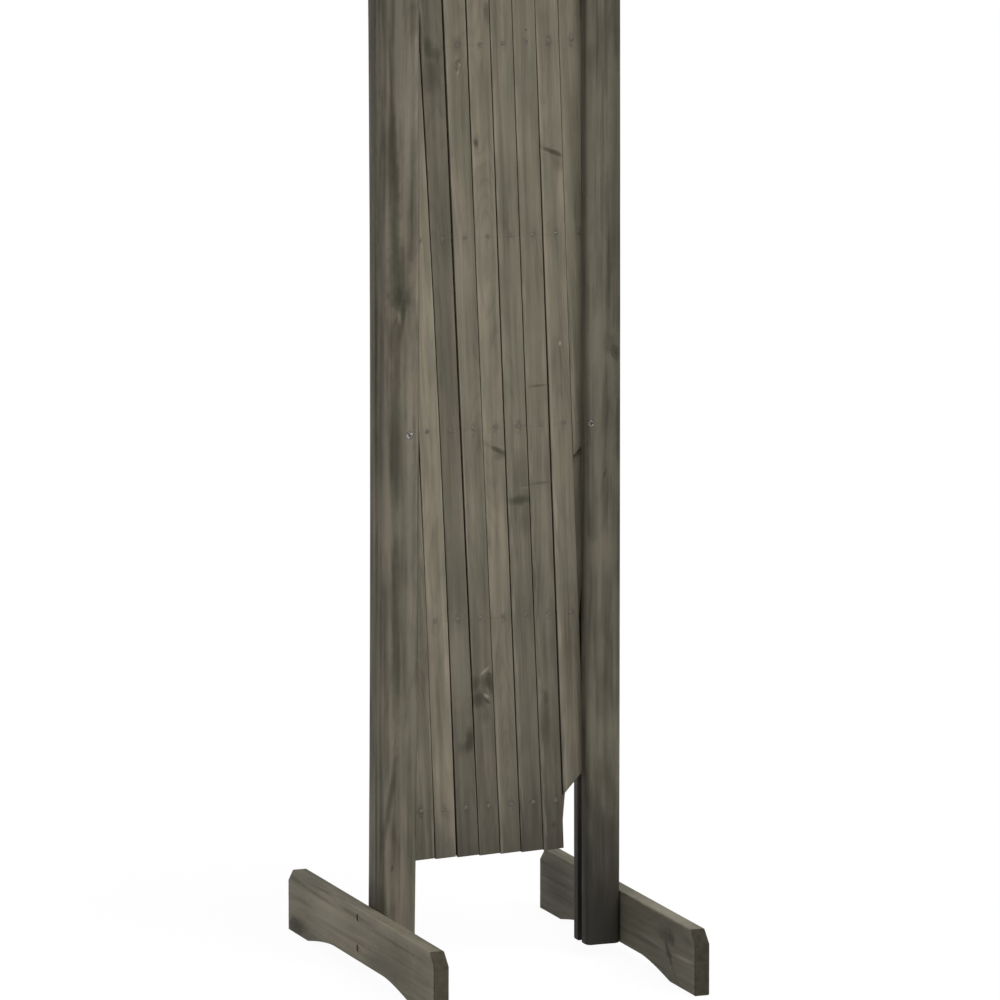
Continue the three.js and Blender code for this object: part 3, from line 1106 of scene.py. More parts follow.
class ScrewBlueprint(Blueprint):
    """A countersunk wood screw, or the hole that it needs.

    Its head's top is at the origin and it points down, until it is turned.
    Its Plain input leaves out the thread and the recess.
    """

    LABELS = {
        "Float": (
            *("Length", "Shank", "Head", "Head Height", "Point", "Headroom"),
            *("Thread Pitch", "Thread Radius", "Drive Width", "Drive Depth"),
        ),
        "Bool": ("Plain",),
        "Rotation": ("Turn",),
        "Vector": ("Place",),
        "Material": ("Material",),
    }
    SIDES = 28
    OVERLAP = 0.4 * MM  # of the shaft with the point and the head
    SHARP = 0.5  # radians

    def __init__(self) -> None:
        """Writes the tree down."""
        super().__init__("screw", self.LABELS)
        graph, size, sides = self.graph, self.size, self.SIDES
        cone, cylinder = "GeometryNodeMeshCone", "GeometryNodeMeshCylinder"
        head, shank, point = size["Head"], size["Shank"], size["Point"]
        length = size["Length"] - size["Head Height"] - point
        bottom = point - size["Length"]
        cap = graph.out(cone, sides, 1, 1, head, shank, size["Head Height"])
        cap = graph.moved(cap, graph.up(-size["Head Height"]))
        shaft = graph.out(cylinder, sides, 1, 1, shank, length + self.OVERLAP)
        shaft = graph.moved(shaft, graph.up(length * 0.5 + bottom))
        tip = graph.out(cone, sides, 1, 1, shank, 0.1 * MM, point)
        tip = graph.moved(tip, graph.up(-size["Length"]))
        room = size["Headroom"].at_least(0.01 * MM)
        lid = graph.out(cylinder, sides, 1, 1, head, room)
        lid = graph.moved(lid, graph.up(room * 0.499))
        hole = graph.solid("UNION", None, [cap, shaft, tip, lid])
        body = graph.solid("UNION", None, [cap, shaft, tip])
        span, deep = head * 1.15, size["Drive Depth"] * 2.0
        bars = [
            graph.out("GeometryNodeMeshCube", graph.combine(a, b, deep))
            for a, b in ((span, size["Drive Width"]), (size["Drive Width"], span))
        ]
        recessed = graph.solid("DIFFERENCE", body, bars)
        threaded = [recessed, self._thread(length, bottom)]
        threaded = graph.out("GeometryNodeJoinGeometry", threaded)
        chosen = graph.out(
            "GeometryNodeSwitch", size["Plain"], threaded, hole, input_type="GEOMETRY"
        )
        placed = graph.moved(chosen, size["Place"], turn=size["Turn"])
        self.close(graph.shaded(placed, self.SHARP))

    def _thread(self, length: Term, bottom: Term) -> Term:
        """The thread, a triangular ridge wound round the lower shank."""
        graph, size = self.graph, self.size
        wound = length * 0.7
        turns, shank = wound / size["Thread Pitch"], size["Shank"]
        helix = graph.out("GeometryNodeCurveSpiral", 16, turns, shank, shank, wound)
        helix = graph.moved(helix, graph.up(bottom))
        ridge = graph.out(
            "GeometryNodeCurvePrimitiveCircle", Resolution=3, Radius=size["Thread Radius"]
        )
        return graph.out("GeometryNodeCurveToMesh", helix, ridge, Fill_Caps=True)


# ---- Sections ------------------------------------------------------------


def ring_mesh(name: str, points: Sequence[Point]) -> bpy.types.Mesh:
    """A closed ring of edges in the XY plane."""
    mesh = bpy.data.meshes.new(name)
    count = len(points)
    edges = [(i, (i + 1) % count) for i in range(count)]
    mesh.from_pydata([(x, y, 0.0) for x, y in points], edges, [])
    return mesh


def closed_ring(corners: Sequence[Point], pitch: float) -> list[Point]:
    """A closed outline through some corners, with points along its sides."""
    ring: list[Point] = []
    for start, end in zip(corners, [*corners[1:], corners[0]]):
        steps = max(1, math.ceil(math.dist(start, end) / pitch))
        ring += [
            tuple(a + (b - a) * i / steps for a, b in zip(start, end))
            for i in range(steps)
        ]
    return ring


def rounded_corners(width: float, thickness: float, radius: float) -> list[Point]:
    """A rectangle's corners, each an arc of five points, from the first quadrant."""
    points = []
    for quarter, (right, up) in enumerate(((1, 1), (-1, 1), (-1, -1), (1, -1))):
        x, y = right * (width / 2 - radius), up * (thickness / 2 - radius)
        for step in range(5):
            angle = math.radians(90 * quarter + 90 * step / 4)
            points.append((x + radius * math.cos(angle), y + radius * math.sin(angle)))
    return points


# ---- The lattice ---------------------------------------------------------


@dataclass(frozen=True)
class Seam:
    """The line between two slats, as it was built.

    Attributes:
        shift: How far right it strays at its low end, middle and top.
        gap: How wide it is there.
    """

    shift: Triple = (0.0, 0.0, 0.0)
    gap: Triple = (0.6 * MM, 0.6 * MM, 0.6 * MM)


@dataclass(frozen=True)
class SlatLook:
    """What sets one slat apart from the next.

    Attributes:
        tone: Lightness of its stain.
        warmth: From 0, olive, to 1, pinkish.
        shade: How dark it gets towards its low end.
        marks: Its knots and stains, and on one slat a line of painted shade.
        trim: Cut off its mitred tip.
    """

    tone: float
    warmth: float
    shade: float = 0.35
    marks: tuple[Mark, ...] = ()
    trim: float = 0.0


def seam_mm(*sizes: float) -> Seam:
    """A seam from its three shifts and its three gaps, in millimetres."""
    values = tuple(size * MM for size in sizes)
    return Seam(values[:3], values[3:])


FRONT_SEAMS: tuple[Seam, ...] = (
    Seam(),
    seam_mm(1.2, 2.9, 1.5, 0.8, 0.2, 0.2),
    seam_mm(0.3, 1.1, -3.3, 1.7, 0.4, 0.5),
    seam_mm(0.2, -1.0, -1.6, 0.4, 1.7, 1.7),
    seam_mm(-1.5, -2.0, -1.0, 0.6, 0.2, 1.3),
    seam_mm(-3.2, -2.7, -0.6, 0.6, 0.9, 0.4),
    seam_mm(-3.4, -3.0, -0.9, 0.3, 0.6, 0.2),
    seam_mm(-4.6, -2.8, -0.7, 1.4, 1.5, 0.2),
    seam_mm(-3.4, -2.5, -0.4, 0.8, 0.7, 0.3),
    seam_mm(-2.0, -1.6, 0.0, 0.6, 0.6, 0.6),
)

FRONT_LOOKS: tuple[SlatLook, ...] = (
    SlatLook(1.14, 0.3, 0.32, marks_mm((-2, -300, 3, 30, 0.3))),
    SlatLook(
        1.19,
        0.7,
        0.3,
        marks_mm((6, -120, 3, 70, 0.22), (-3, 260, 9, 80, 0.3)),
    ),
    SlatLook(
        0.66,
        0.45,
        0.2,
        marks_mm(
            # The first mark is painted shade: a dark line down the slat's left edge near its
            # top, for the shadowed gap beside the left post.
            (-14.5, 404, 2.2, 26, 0.9), (-7, 382, 5, 12, 0.7), (2, 374, 7, 8, 0.5),
            (-4, 352, 10, 26, 0.55), (-4, -60, 5, 60, 0.3), (0, -235, 14, 60, -0.16),
            (0, -85, 14, 60, -0.04), (7.3, -313, 6, 13, 0.85), (4.8, -321, 6, 9, 0.7),
            (-3, -322, 5, 8, 0.4),
        ),
    ),
    SlatLook(
        0.96,
        0.35,
        0.47,
        marks_mm(
            (0, 300, 14, 95, 0.26), (0.5, 382, 5, 12, 0.35),
            (0.2, 365.6, 2.6, 3.4, 0.5, 30, True), (1.6, 363, 1.2, 3.0, -0.3, -30),
            (-0.4, 355, 1.2, 3.2, -0.3, 25), (-1.6, 359, 1.4, 4.0, 0.4, -10),
            (3.1, -256, 9, 10, 0.62, 25), (7.0, -258, 3.6, 11, 0.95, -6, True),
            (2.0, -245, 1.9, 7.5, -0.34, 52), (-8.5, -257, 5, 11, 0.7),
            (-5.5, -273, 10, 12, 0.8, 10), (2.4, -270.5, 4.4, 1.9, -0.4, 38),
            (3.0, -276, 6.5, 2.2, 0.75, 38), (0, -290, 8, 10, 0.3),
        ),
    ),
    SlatLook(
        1.0,
        0.65,
        0.3,
        marks_mm(
            (-8.4, 285, 2.6, 4, 0.85, 0, True), (8.5, 414, 5, 14, 0.5),
            (0.6, -23, 2.6, 7.5, 0.85, -58, True), (3, -29, 6, 6, 0.4, -50),
            (0, -300, 9, 60, 0.15),
        ),
    ),
    SlatLook(
        0.86,
        0.35,
        0.45,
        marks_mm(
            (-2, -75, 14, 6, 0.75), (-1, -50, 9, 30, 0.3), (3, -100, 8, 16, 0.3),
            (5, -63, 8, 1.4, -0.12), (0, 300, 8, 90, -0.05),
        ),
    ),
    SlatLook(
        0.90,
        0.35,
        0.5,
        marks_mm(
            (0.8, 394, 1.3, 1.3, 0.9), (-1, 39, 12, 1.8, 0.5), (-3, -59, 12, 2, 0.45),
            (0, -112, 14, 60, -0.06), (-6, -275, 4, 9, 0.5), (-7, -302, 5, 34, 0.55),
            (-5, -240, 4, 30, 0.3), (-3.4, -407, 2.2, 3.6, 0.85, 20, True),
        ),
    ),
    SlatLook(
        0.96,
        0.55,
        0.25,
        marks_mm(
            (-0.5, 272, 2.1, 10.5, 0.85, -63, True), (4, 262, 7, 14, 0.35),
            (-0.4, 80, 1.6, 2.6, -0.5), (-6, -230, 5, 70, 0.3),
        ),
        trim=5.5 * MM,
    ),
    SlatLook(0.92, 0.3, 0.3, marks_mm((-4, 40, 6, 120, 0.25))),
)

BACK_TONES = (0.86, 0.98, 0.8, 0.9, 1.0, 0.84, 0.94, 0.88, 1.02)


@dataclass
class Lattice:
    """The two layers of slats and the rivets that join them.

    Attributes:
        nodes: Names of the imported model's nodes.
        sizes: The lattice's driving sizes.
        rivet: The rivet's sizes.
        hole_clearance: Of a rivet in its hole.
        section_pitch: Between points round a slat's section.
        ring_pitch: Between rings along a slat.
        corner: Radius of a slat's long edges.
        ease: How far a slat's ends are eased.
        wander: How far its edges stray inwards.
        relief: Depth of the troughs in its faces.
        seed_step: From the seed of one slat to the next.
        back_seed: Added to the seeds of the back layer.
    """

    nodes: Sequence[str]
    sizes: LatticeSizes = field(default_factory=LatticeSizes)
    rivet: RivetSizes = field(default_factory=RivetSizes)
    hole_clearance: float = 0.15 * MM
    section_pitch: float = 1.5 * MM
    ring_pitch: float = 7 * MM
    corner: float = 0.45 * MM
    ease: float = 0.35 * MM
    wander: float = 0.25 * MM
    relief: float = 0.14 * MM
    seed_step: float = 3.1
    back_seed: float = 47.0

    def build(self, board: Blueprint, rivets: Blueprint) -> None:
        """Makes every slat and its rivets.

        Args:
            board: The blueprint of a board.
            rivets: The blueprint of a line of rivets.
        """
        steel = DullSteel("rivet_steel", cover=0.86, roughness=0.34).material()
        for layer in Layer:
            for index in range(self.sizes.count):
                self._slat(layer, index, board, rivets)
                if layer is Layer.FRONT:
                    self._rivets(index, rivets, steel)

    def _end(self, layer: Layer, index: int, up: int) -> Point:
        """Where a slat's end lies along it, at its left and right edges."""
        size = self.sizes
        trim = FRONT_LOOKS[index].trim if layer is Layer.FRONT else 0.0
        rows = abs(size.rows(layer, index)[0 if up < 0 else 1])
        spacing = size.spacing_of(layer)
        if rows == size.outer_row:
            end = up * (size.outer_row * spacing + size.overhang)
            return end, end
        tip = size.pivot_tail if rows == 0 else (rows + 1) * spacing - trim
        heel = tip - size.width
        tip_on_right = (layer is Layer.FRONT) == (up == 1)
        left, right = (heel, tip) if tip_on_right else (tip, heel)
        return up * left, up * right

    def _edge_shift(self, layer: Layer, seam: int, inwards: int) -> Vector:
        """How far right of its true place an edge is, at its three heights."""
        built = FRONT_SEAMS[seam] if layer is Layer.FRONT else Seam()
        play = (self.sizes.pitch - self.sizes.width) / 2
        pairs = zip(built.shift, built.gap)
        return Vector([shift + inwards * (gap / 2 - play) for shift, gap in pairs])

    def _rivet_inputs(self, layer: Layer, index: int) -> dict[str, Value]:
        """The rivet blueprint's sizes for the rivets along one slat."""
        size, rivet = self.sizes, self.rivet
        low, high = size.rows(layer, index)
        outermost = index in (0, size.count - 1)
        return {
            "First Row": low,
            "Rows": high - low + 1,
            "Pivot Row": 0 if outermost else RivetBlueprint.NO_ROW,
            "Spacing": size.spacing_of(layer),
            "Half Length": size.half + rivet.proud,
            "Shank": rivet.shank,
            "Head": rivet.head,
            "Head Thickness": rivet.head_thickness,
            "Dome": rivet.dome,
            "Dimple": rivet.dimple,
            "Pivot": size.pivot_bore,
            "Turn": (0.0, size.turn_of(layer), 0.0),
            "Place": size.place(index),
        }

    def _rivets(self, index: int, rivets: Blueprint, steel: bpy.types.Material) -> None:
        """The rivets that turn with one front slat."""
        body = f"{Layer.FRONT.value}_slat_{index + 1}"
        inputs = {**self._rivet_inputs(Layer.FRONT, index), "Material": steel}
        piece = rivets.make(f"{body}_rivets", inputs)
        end = f"_slat_{index + 1}"
        rows = [name for name in self.nodes if name.startswith("rivet_row_")]
        mine = [name for name in rows if name.endswith(end)]
        settled(piece, body, mine)

    def _slat(
        self, layer: Layer, index: int, board: Blueprint, rivets: Blueprint
    ) -> None:
        """One slat, drilled and dressed."""
        size = self.sizes
        name = f"{layer.value}_slat_{index + 1}"
        front = layer is Layer.FRONT
        seed = self.seed_step * index + (0.0 if front else self.back_seed)
        holes = {**self._rivet_inputs(layer, index), "Grow": self.hole_clearance}
        cutter = rivets.make(f"{name}_holes", holes)
        low, high = self._end(layer, index, -1), self._end(layer, index, 1)
        corners = rounded_corners(size.width, size.thickness, self.corner)
        middle = size.place(index)
        middle.y += (-1 if front else 1) * (size.layer_gap + size.thickness) / 2
        piece = board.make(
            name + "_board",
            {
                **BoardBlueprint.NO_ARCH,
                "Rings": round((max(high) - min(low)) / self.ring_pitch) + 3,
                "Width": size.width,
                "Thickness": size.thickness,
                "Low Left": low[0],
                "Low Right": low[1],
                "High Left": high[0],
                "High Right": high[1],
                "Left Shift": self._edge_shift(layer, index, 1),
                "Right Shift": self._edge_shift(layer, index + 1, -1),
                "Wander": self.wander,
                "Ease": self.ease,
                "Relief": self.relief,
                "Seed": seed,
                "Turn": (0.0, size.turn_of(layer), 0.0),
                "Place": middle,
                "Cutter": cutter,
                "Material": self._finish(layer, index, seed).material(),
            },
            ring_mesh(name, closed_ring(corners, self.section_pitch)),
        )
        bpy.data.objects.remove(cutter)
        settled(piece, name, [name])

    def _finish(self, layer: Layer, index: int, seed: float) -> StainedWood:
        """The wood of one slat, each cut from another place in its log."""
        size, look = self.sizes, self._look(layer, index)
        across, through = 7 * math.sin(2.3 * index), 16 + 5 * math.cos(1.7 * index)
        return StainedWood(
            f"stained_{layer.value}_slat_{index + 1}",
            tone=look.tone,
            warmth=look.warmth,
            seed=seed,
            pith=(across * MM, through * MM),
            ring=(2.1 + 0.5 * math.sin(index * 1.3)) * MM,
            half_width=size.width / 2,
            half_thickness=size.thickness / 2,
            rivet_spacing=size.spacing_of(layer),
            fades=((-0.5, 0.12, look.shade), (-0.46, -0.35, 0.45)),
            marks=look.marks,
        )

    def _look(self, layer: Layer, index: int) -> SlatLook:
        """How one slat is stained and marked; the back layer's marks are made up."""
        if layer is Layer.FRONT:
            return FRONT_LOOKS[index]
        across = 5 * math.sin(2.9 * index)
        along = 330 * math.sin(1.9 * index + 0.6)
        knot = (across, along, 3 + index % 3, 6 + index % 4, 0.6, 12, True)
        stain = (-across, 0.4 * along + 60, 8, 40, 0.25)
        marks = marks_mm(knot, stain)
        return SlatLook(BACK_TONES[index], 0.2 + 0.08 * index, marks=marks)


# ---- The stands ----------------------------------------------------------


@dataclass(frozen=True)
class StandLook:
    """How one stand is stained and marked.

    Attributes:
        post_seed: Moves the post's grain to another part of the log.
        post_tone: Lightness of the post.
        post_warmth: From 0, olive, to 1, pinkish.
        post_fades: Heights of its dark low end, and how dark it is.
        foot_seed: Moves the foot's grain to another part of the log.
        foot_tone: Lightness of the foot.
        foot_warmth: From 0, olive, to 1, pinkish.
        screw_cover: How dirty the screws are, from 0 to 1.
        outer_bow: How far right the post's outer face strays at its low end,
            middle and top.
        inner_bow: The same for its inner face.
        post_marks: Knots and stains on the post; on the left post, painted shade on its outer
            side too.
        foot_marks: Knots and stains on the foot; on the right foot, a painted highlight on its
            top too.
    """

    post_seed: float
    post_tone: float
    post_warmth: float
    post_fades: tuple[Triple, ...]
    foot_seed: float
    foot_tone: float
    foot_warmth: float
    screw_cover: float
    outer_bow: Triple
    inner_bow: Triple
    post_marks: tuple[Mark, ...]
    foot_marks: tuple[Mark, ...]


STAND_LOOKS: Mapping[Side, StandLook] = {
    Side.LEFT: StandLook(
        post_seed=13.0,
        post_tone=0.66,
        post_warmth=0.62,
        post_fades=(),
        foot_seed=49.0,
        foot_tone=1.08,
        foot_warmth=0.4,
        screw_cover=0.62,
        outer_bow=(0.3 * MM, 3.6 * MM, 2.6 * MM),
        inner_bow=(-1.8 * MM, 3.7 * MM, 4.7 * MM),
        post_marks=marks_mm(
            # The first post mark is painted shade on the outer side face, over most of the
            # post's height, where little light falls.
            (-21, 800, 5, 420, 0.75), (3.9, 679, 15, 14, 0.85), (0.4, 702, 14, 36, 0.6),
            (6.1, 667, 2.4, 11, 0.95, 4, True), (4.8, 650, 2.4, 16, 0.5, 10),
            (-2.3, 656, 1.4, 9, 0.4, 24), (-6, 640, 4, 22, 0.3, 10), (1.6, 660, 1.8, 7, -0.18),
            (-3, 735, 7, 40, 0.6, -4), (-6.5, 900, 1.8, 60, 0.6, -2),
            (-3.5, 822, 5, 60, 0.65, -3), (-2, 775, 7, 50, 0.55), (-3, 545, 7, 90, 0.6),
            (-2, 335, 6, 110, 0.65), (0, 312, 2.6, 40, 0.5), (-9, 176, 4, 52, 0.7, 9),
            (-7, 108, 1.4, 4.5, 0.8, 10), (-17, 73, 5, 26, 0.6, -10), (12, 864, 9, 80, -0.16),
            (12, 420, 8, 200, -0.12), (13, 560, 6, 80, -0.08),
        ),
        foot_marks=marks_mm(
            (-24, 187, 8, 20, 0.95, 0, True), (-20, 178, 11, 30, 0.55), (30, 104, 1.2, 34, 0.8),
            (24, 192, 3.5, 40, 0.5, 3), (21.5, 110, 3.0, 60, 0.6, 1), (24, 20, 2.6, 60, 0.45),
            (20, -110, 1.8, 90, 0.45), (-2, 60, 3, 90, 0.3), (28, -60, 3, 190, -0.12),
            (5, 95, 34, 70, -0.24), (0, -90, 34, 80, 0.4), (0, -180, 34, 30, 0.15),
        ),
    ),
    Side.RIGHT: StandLook(
        post_seed=27.0,
        post_tone=0.61,
        post_warmth=0.3,
        post_fades=((40 * MM, 250 * MM, 0.93),),
        foot_seed=71.0,
        foot_tone=0.76,
        foot_warmth=0.25,
        screw_cover=0.8,
        outer_bow=(0.0, 0.0, -1.2 * MM),
        inner_bow=(3.6 * MM, 2.3 * MM, 1.0 * MM),
        post_marks=marks_mm(
            (13, 612, 5, 9, 0.9, -16, True), (5, 622, 7, 14, 0.4), (2, 491, 1.3, 6, 0.9, 17),
            (14, 770, 9, 280, 0.5), (14, 440, 8, 160, 0.35), (-1, 850, 1.4, 90, 0.35, -1),
            (7, 176, 9, 34, 0.5, -12), (3, 128, 11, 26, 0.5), (12, 60, 9, 60, 0.5),
            (-7, 700, 6, 160, -0.08),
        ),
        foot_marks=marks_mm(
            (12.4, -136, 9, 26, 0.75), (13.5, -150, 7, 12, 0.6, 40),
            (-2.8, -141, 3.6, 13, 0.95, 50, True), (-5.2, -143, 3.4, 10, 0.8),
            (-1.0, -182, 2.8, 34, -0.32, -2), (0.4, -92, 0.9, 42, -0.2, 3),
            (-4, -80, 3, 60, 0.35), (5, 165, 2.4, 60, 0.6), (-8, 150, 2, 50, 0.5),
            # (34, -120) is a painted highlight: a pale band along the front half of the foot's
            # top face, lit from above.
            (18, 170, 3, 60, 0.4), (34, -120, 4.0, 120, -0.5), (4, 165, 30, 45, 0.42),
        ),
    ),
}


@dataclass
class Stand:
    """A grooved post, its foot and their screws.

    Attributes:
        side: Left or right.
        lattice: The sizes of what runs in the groove.
        sizes: The stand's driving sizes.
        screw: The screws' sizes.
        section_pitch: Between points round a section.
        post_ring_pitch: Between rings along the post.
        foot_ring_pitch: Between rings along the foot.
        ease: How far the boards' ends are eased.
        relief: Depth of the troughs in their faces.
    """

    side: Side
    lattice: LatticeSizes = field(default_factory=LatticeSizes)
    sizes: StandSizes = field(default_factory=StandSizes)
    screw: ScrewSizes = field(default_factory=ScrewSizes)
    section_pitch: float = 1.8 * MM
    post_ring_pitch: float = 7 * MM
    foot_ring_pitch: float = 2.032 * MM
    ease: float = 0.8 * MM
    relief: float = 0.3 * MM

    @property
    def pivot_x(self) -> float:
        """The x of the pivot screw, without its sign."""
        return (self.lattice.count - 1) / 2 * self.lattice.pitch

    @property
    def post_inner(self) -> float:
        """The x of the post's inner face, without its sign."""
        return self.pivot_x - self.sizes.pivot_inset

    @property
    def foot_inner(self) -> float:
        """The x of the foot's inner face, without its sign."""
        return self.post_inner + self.sizes.post_width + self.sizes.gap

    def build(self, board: Blueprint, screws: Blueprint) -> None:
        """Makes the post, the foot and the screws.

        Args:
            board: The blueprint of a board.
            screws: The blueprint of a screw.
        """
        look, side = STAND_LOOKS[self.side], self.side.value
        body = f"{side}_stand"
        steel = DullSteel("screw_steel", cover=look.screw_cover).material()
        places = self._screw_places()
        for label, inputs in places.items():
            piece = screws.make(f"{label}_driven", {**inputs, "Material": steel})
            settled(piece, body, [label])
        for make, label in ((self._post, "post"), (self._foot, "foot")):
            holes = [
                screws.make("hole", {**inputs, **self._hole(inputs)})
                for name, inputs in places.items()
                if not (label == "foot" and "pivot" in name)
            ]
            cutter = merged("holes", holes)
            piece = make(board, cutter, look)
            bpy.data.objects.remove(cutter)
            settled(piece, body, [f"{side}_{label}"])

    def _screw_places(self) -> dict[str, dict[str, Value]]:
        """The screw blueprint's sizes for each screw, by its node's name."""
        size, sign = self.sizes, self.side.sign
        y = self.lattice.depth
        front = y - size.post_width / 2 + size.pivot_recess
        outer = self.foot_inner + size.foot_thickness - size.screw_recess
        places = {
            f"{self.side.value}_pivot_screw": self._screw(
                size.post_width - size.pivot_cover - size.pivot_recess,
                (sign * self.pivot_x, front, self.lattice.middle),
                (math.pi / 2, 0.0, 0.0),
            )
        }
        for label, height in size.screw_heights.items():
            places[f"{self.side.value}_foot_screw_{label}"] = self._screw(
                size.screw_length,
                (sign * outer, y, height),
                (0.0, sign * math.pi / 2, 0.0),
            )
        return places

    def _screw(self, length: float, place: Triple, turn: Triple) -> dict[str, Value]:
        """The screw blueprint's sizes for one screw."""
        size = self.screw
        return {
            "Length": length,
            "Shank": size.shank,
            "Head": size.head,
            "Head Height": size.head_height,
            "Point": size.point,
            "Thread Pitch": size.thread_pitch,
            "Thread Radius": size.thread_radius,
            "Drive Width": size.drive_width,
            "Drive Depth": size.drive_depth,
            "Plain": False,
            "Turn": turn,
            "Place": place,
        }

    def _hole(self, inputs: Mapping[str, Value]) -> dict[str, Value]:
        """What changes in a screw's sizes to give the hole that it needs."""
        grown = ("Length", "Shank", "Head")
        wider = {label: inputs[label] + self.screw.clearance for label in grown}
        return {"Plain": True, "Headroom": self.screw.headroom, **wider}

    def _post(
        self, board: Blueprint, cutter: bpy.types.Object, look: StandLook
    ) -> bpy.types.Object:
        """The grooved post."""
        size, sign = self.sizes, self.side.sign
        half = size.post_width / 2
        bows = (look.outer_bow, look.inner_bow)[::-sign]
        finish = StainedWood(
            f"stained_{self.side.value}_post",
            tone=look.post_tone,
            warmth=look.post_warmth,
            seed=look.post_seed,
            pith=(-9 * sign * MM, 52 * MM),
            ring=3.1 * MM,
            half_width=half,
            half_thickness=half,
            contrast=1.8,
            fades=look.post_fades,
            marks=look.post_marks,
        )
        name = f"{self.side.value}_post"
        return board.make(
            f"{name}_board",
            {
                **BoardBlueprint.NO_ARCH,
                "Rings": round((size.post_top - size.post_bottom) / self.post_ring_pitch),
                "Width": size.post_width,
                "Thickness": size.post_width,
                "Low Left": size.post_bottom,
                "Low Right": size.post_bottom,
                "High Left": size.post_top,
                "High Right": size.post_top,
                "Left Shift": bows[0],
                "Right Shift": bows[1],
                "Ease": self.ease,
                "Groove": self.lattice.half + size.groove_play,
                "Groove Floor": -sign * (half - size.groove_depth),
                "Groove Depth": size.groove_depth,
                "Relief": self.relief,
                "Seed": look.post_seed,
                "Place": (sign * (self.post_inner + half), self.lattice.depth, 0.0),
                "Cutter": cutter,
                "Material": finish.material(),
            },
            ring_mesh(name, self._post_section()),
        )

    def _post_section(self) -> list[Point]:
        """The outline of the post's section, its groove on the inner side."""
        size = self.sizes
        inner = -size.post_width / 2
        groove = self.lattice.half + size.groove_play
        floor = inner + size.groove_depth
        rounded = rounded_corners(size.post_width, size.post_width, size.corner)
        corners = [
            *rounded[10:],
            *rounded[:10],
            (inner, groove),
            (floor, groove),
            (floor, -groove),
            (inner, -groove),
        ]
        ring = closed_ring(corners, self.section_pitch)
        if self.side is Side.RIGHT:
            return ring
        return [(-x, y) for x, y in reversed(ring)]

    def _foot(
        self, board: Blueprint, cutter: bpy.types.Object, look: StandLook
    ) -> bpy.types.Object:
        """The arched foot, whose grain runs from back to front."""
        size = self.sizes
        half, width, thickness = size.foot_length / 2, size.foot_width, size.foot_thickness
        finish = StainedWood(
            f"stained_{self.side.value}_foot",
            tone=look.foot_tone,
            warmth=look.foot_warmth,
            seed=look.foot_seed,
            pith=(-44 * MM, 12 * MM),
            ring=3.4 * MM,
            half_width=width / 2,
            half_thickness=thickness / 2,
            grain_axis=(0.0, 1.0, 0.0),
            marks=look.foot_marks,
        )
        name = f"{self.side.value}_foot"
        corners = rounded_corners(width, thickness, size.foot_corner)
        middle = self.side.sign * (self.foot_inner + thickness / 2)
        return board.make(
            f"{name}_board",
            {
                "Rings": round(size.foot_length / self.foot_ring_pitch) + 2,
                "Width": width,
                "Thickness": thickness,
                "Low Left": -half,
                "Low Right": -half,
                "High Left": half,
                "High Right": half,
                "Ease": self.ease,
                "Arch Height": size.arch_height,
                "Arch Length": size.arch_length,
                "Arch Ramp": size.arch_ramp,
                "Arch Knee": size.arch_knee,
                "Arch Centre": self.lattice.depth,
                "Chamfer": size.chamfer,
                "Relief": self.relief,
                "Seed": look.foot_seed,
                "Turn": Matrix(((0, 1, 0), (0, 0, 1), (1, 0, 0))).to_euler(),
                "Place": (middle, 0.0, width / 2),
                "Cutter": cutter,
                "Material": finish.material(),
            },
            ring_mesh(name, closed_ring(corners, self.section_pitch)),
        )


# ---- Studio --------------------------------------------------------------


@dataclass(frozen=True)
class Station:
    """Where something stands that looks at the screen.

    Attributes:
        azimuth: Round the screen, in degrees; 0 looks along +Y.
        elevation: Above the level, in degrees.
        distance: From the aim.
        aim: The point that it looks at.
    """

    azimuth: float
    elevation: float
    distance: float
    aim: Triple = (0.0, 0.0, 0.0)

    def put(self, name: str, data: bpy.types.ID) -> bpy.types.Object:
        """Puts a camera or a lamp there, facing the aim."""
        azimuth, elevation = math.radians(self.azimuth), math.radians(self.elevation)
        flat = math.cos(elevation)
        x, y = math.sin(azimuth) * flat, -math.cos(azimuth) * flat
        back = Vector((x, y, math.sin(elevation)))
        made = bpy.data.objects.new(name, data)
        bpy.context.scene.collection.objects.link(made)
        made.location = Vector(self.aim) + self.distance * back
        made.rotation_euler = (-back).to_track_quat("-Z", "Y").to_euler()
        return made


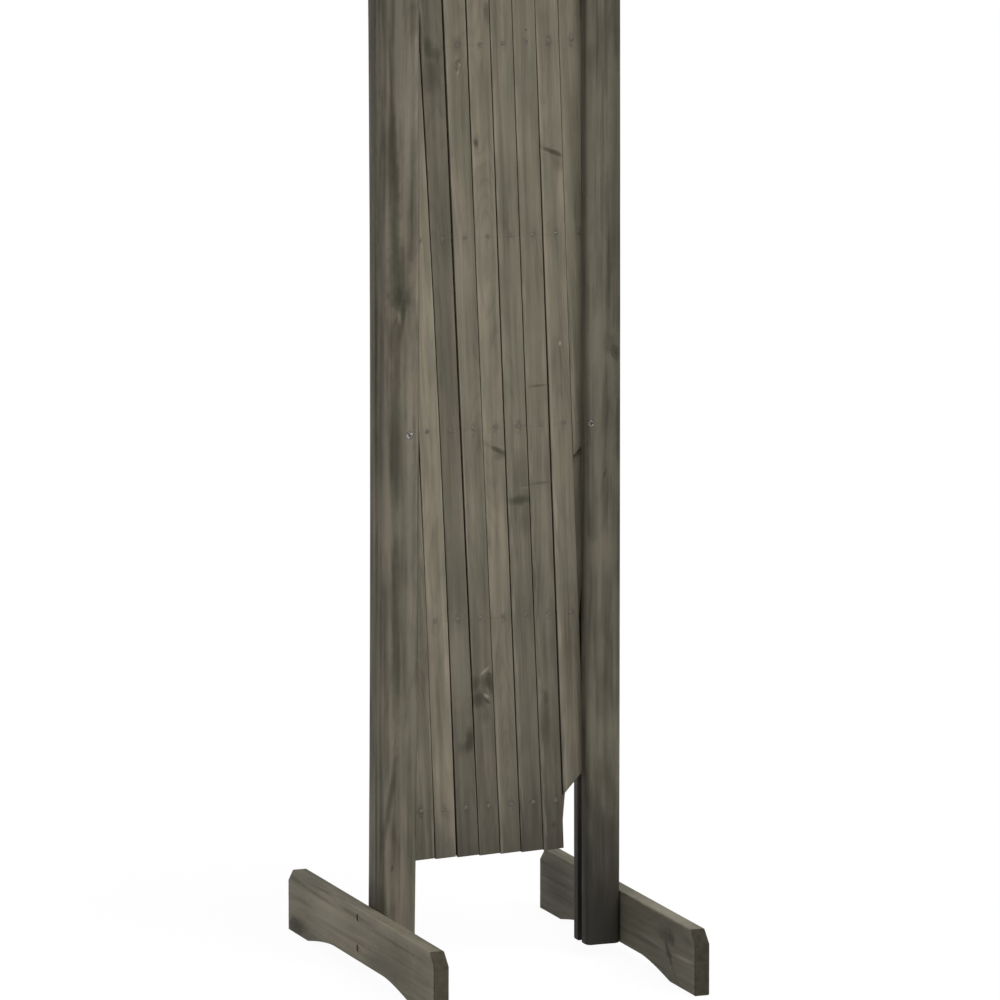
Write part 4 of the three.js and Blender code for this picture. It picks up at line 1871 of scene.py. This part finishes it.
@dataclass(frozen=True)
class Studio:
    """The viewer, a white floor without an edge, an even sky and a broad lamp.

    Attributes:
        viewer: Where the viewer stands.
        focal: Focal length as a multiple of the picture's width.
        sensor: Width of the sensor, in millimetres.
        sky: Strength of the sky on the object.
        lamp: Strength of the lamp.
        lamp_spread: Its width, which softens the shadows.
        lamp_stand: Where it stands.
        floor_radius: Radius of the floor.
        floor_white: How light the floor is by itself.
        shadow: How much of the shadow shows on the floor.
    """

    viewer: Station = Station(-21.0, 10.241, 9.0, (0.0066, 0.005, 0.4675))
    focal: float = 9.088
    sensor: float = 36.0
    sky: float = 0.64
    lamp: float = 2.4
    lamp_spread: float = math.radians(40.0)
    lamp_stand: Station = Station(22.0, 50.0, 4.0)
    floor_radius: float = 80.0
    floor_white: float = 0.93
    shadow: float = 0.05

    WHITE = (1.0, 1.0, 1.0, 1.0)

    def build(self) -> None:
        """Makes the camera, the floor, the sky and the lamp."""
        lens = bpy.data.cameras.new("viewer")
        lens.sensor_width = self.sensor
        lens.lens = self.focal * self.sensor
        lens.clip_start, lens.clip_end = 0.1, 200.0
        bpy.context.scene.camera = self.viewer.put("viewer", lens)
        lamp = bpy.data.lights.new("broad_lamp", "SUN")
        lamp.energy = self.lamp
        lamp.angle = self.lamp_spread
        self.lamp_stand.put("broad_lamp", lamp)
        self._sky()
        self._floor()

    def _background_ray(self, graph: Graph) -> Term:
        """1 for rays from the viewer, in a reflection or through glass."""
        light = graph.node("ShaderNodeLightPath").outputs
        names = ("Is Camera Ray", "Is Glossy Ray", "Is Transmission Ray")
        seen, mirrored, bent = (Term(graph, light[name]) for name in names)
        return seen.at_least(mirrored).at_least(bent)

    def _sky(self) -> None:
        """An even sky that looks white."""
        world = bpy.data.worlds.new("studio")
        bpy.context.scene.world = world
        graph = cleared(world)
        strength = self._background_ray(graph).ramp(0.0, 1.0, self.sky, 1.0)
        glow = graph.out("ShaderNodeBackground", self.WHITE, strength)
        graph.node("ShaderNodeOutputWorld", Surface=glow)

    def _floor(self) -> None:
        """A floor that is white where no shadow falls on it."""
        disc = bmesh.new()
        radius = self.floor_radius
        bmesh.ops.create_circle(disc, cap_ends=True, radius=radius, segments=64)
        mesh = bpy.data.meshes.new("floor")
        disc.to_mesh(mesh)
        disc.free()
        floor = shown("floor", mesh)
        material = bpy.data.materials.new("floor_white")
        graph = cleared(material)
        white = (self.floor_white,) * 3
        matt = graph.out("ShaderNodeBsdfDiffuse", (*white, 1.0))
        glow = graph.out("ShaderNodeEmission", self.WHITE, 1.0)
        share = self._background_ray(graph).ramp(0.0, 1.0, 0.0, 1.0 - self.shadow)
        mixed = graph.out("ShaderNodeMixShader", share, matt, glow)
        graph.node("ShaderNodeOutputMaterial", Surface=mixed)
        mesh.materials.append(material)


# ---- The whole screen ----------------------------------------------------


def main() -> None:
    """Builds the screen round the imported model."""
    logging.basicConfig(level=logging.INFO, format="%(name)s %(message)s")
    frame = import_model()
    bpy.context.scene.view_settings.view_transform = "Standard"
    board, screws = BoardBlueprint(), ScrewBlueprint()
    Lattice(list(frame["nodes"])).build(board, RivetBlueprint())
    for side in Side:
        Stand(side).build(board, screws)
    Studio().build()


if __name__ == "__main__":
    main()
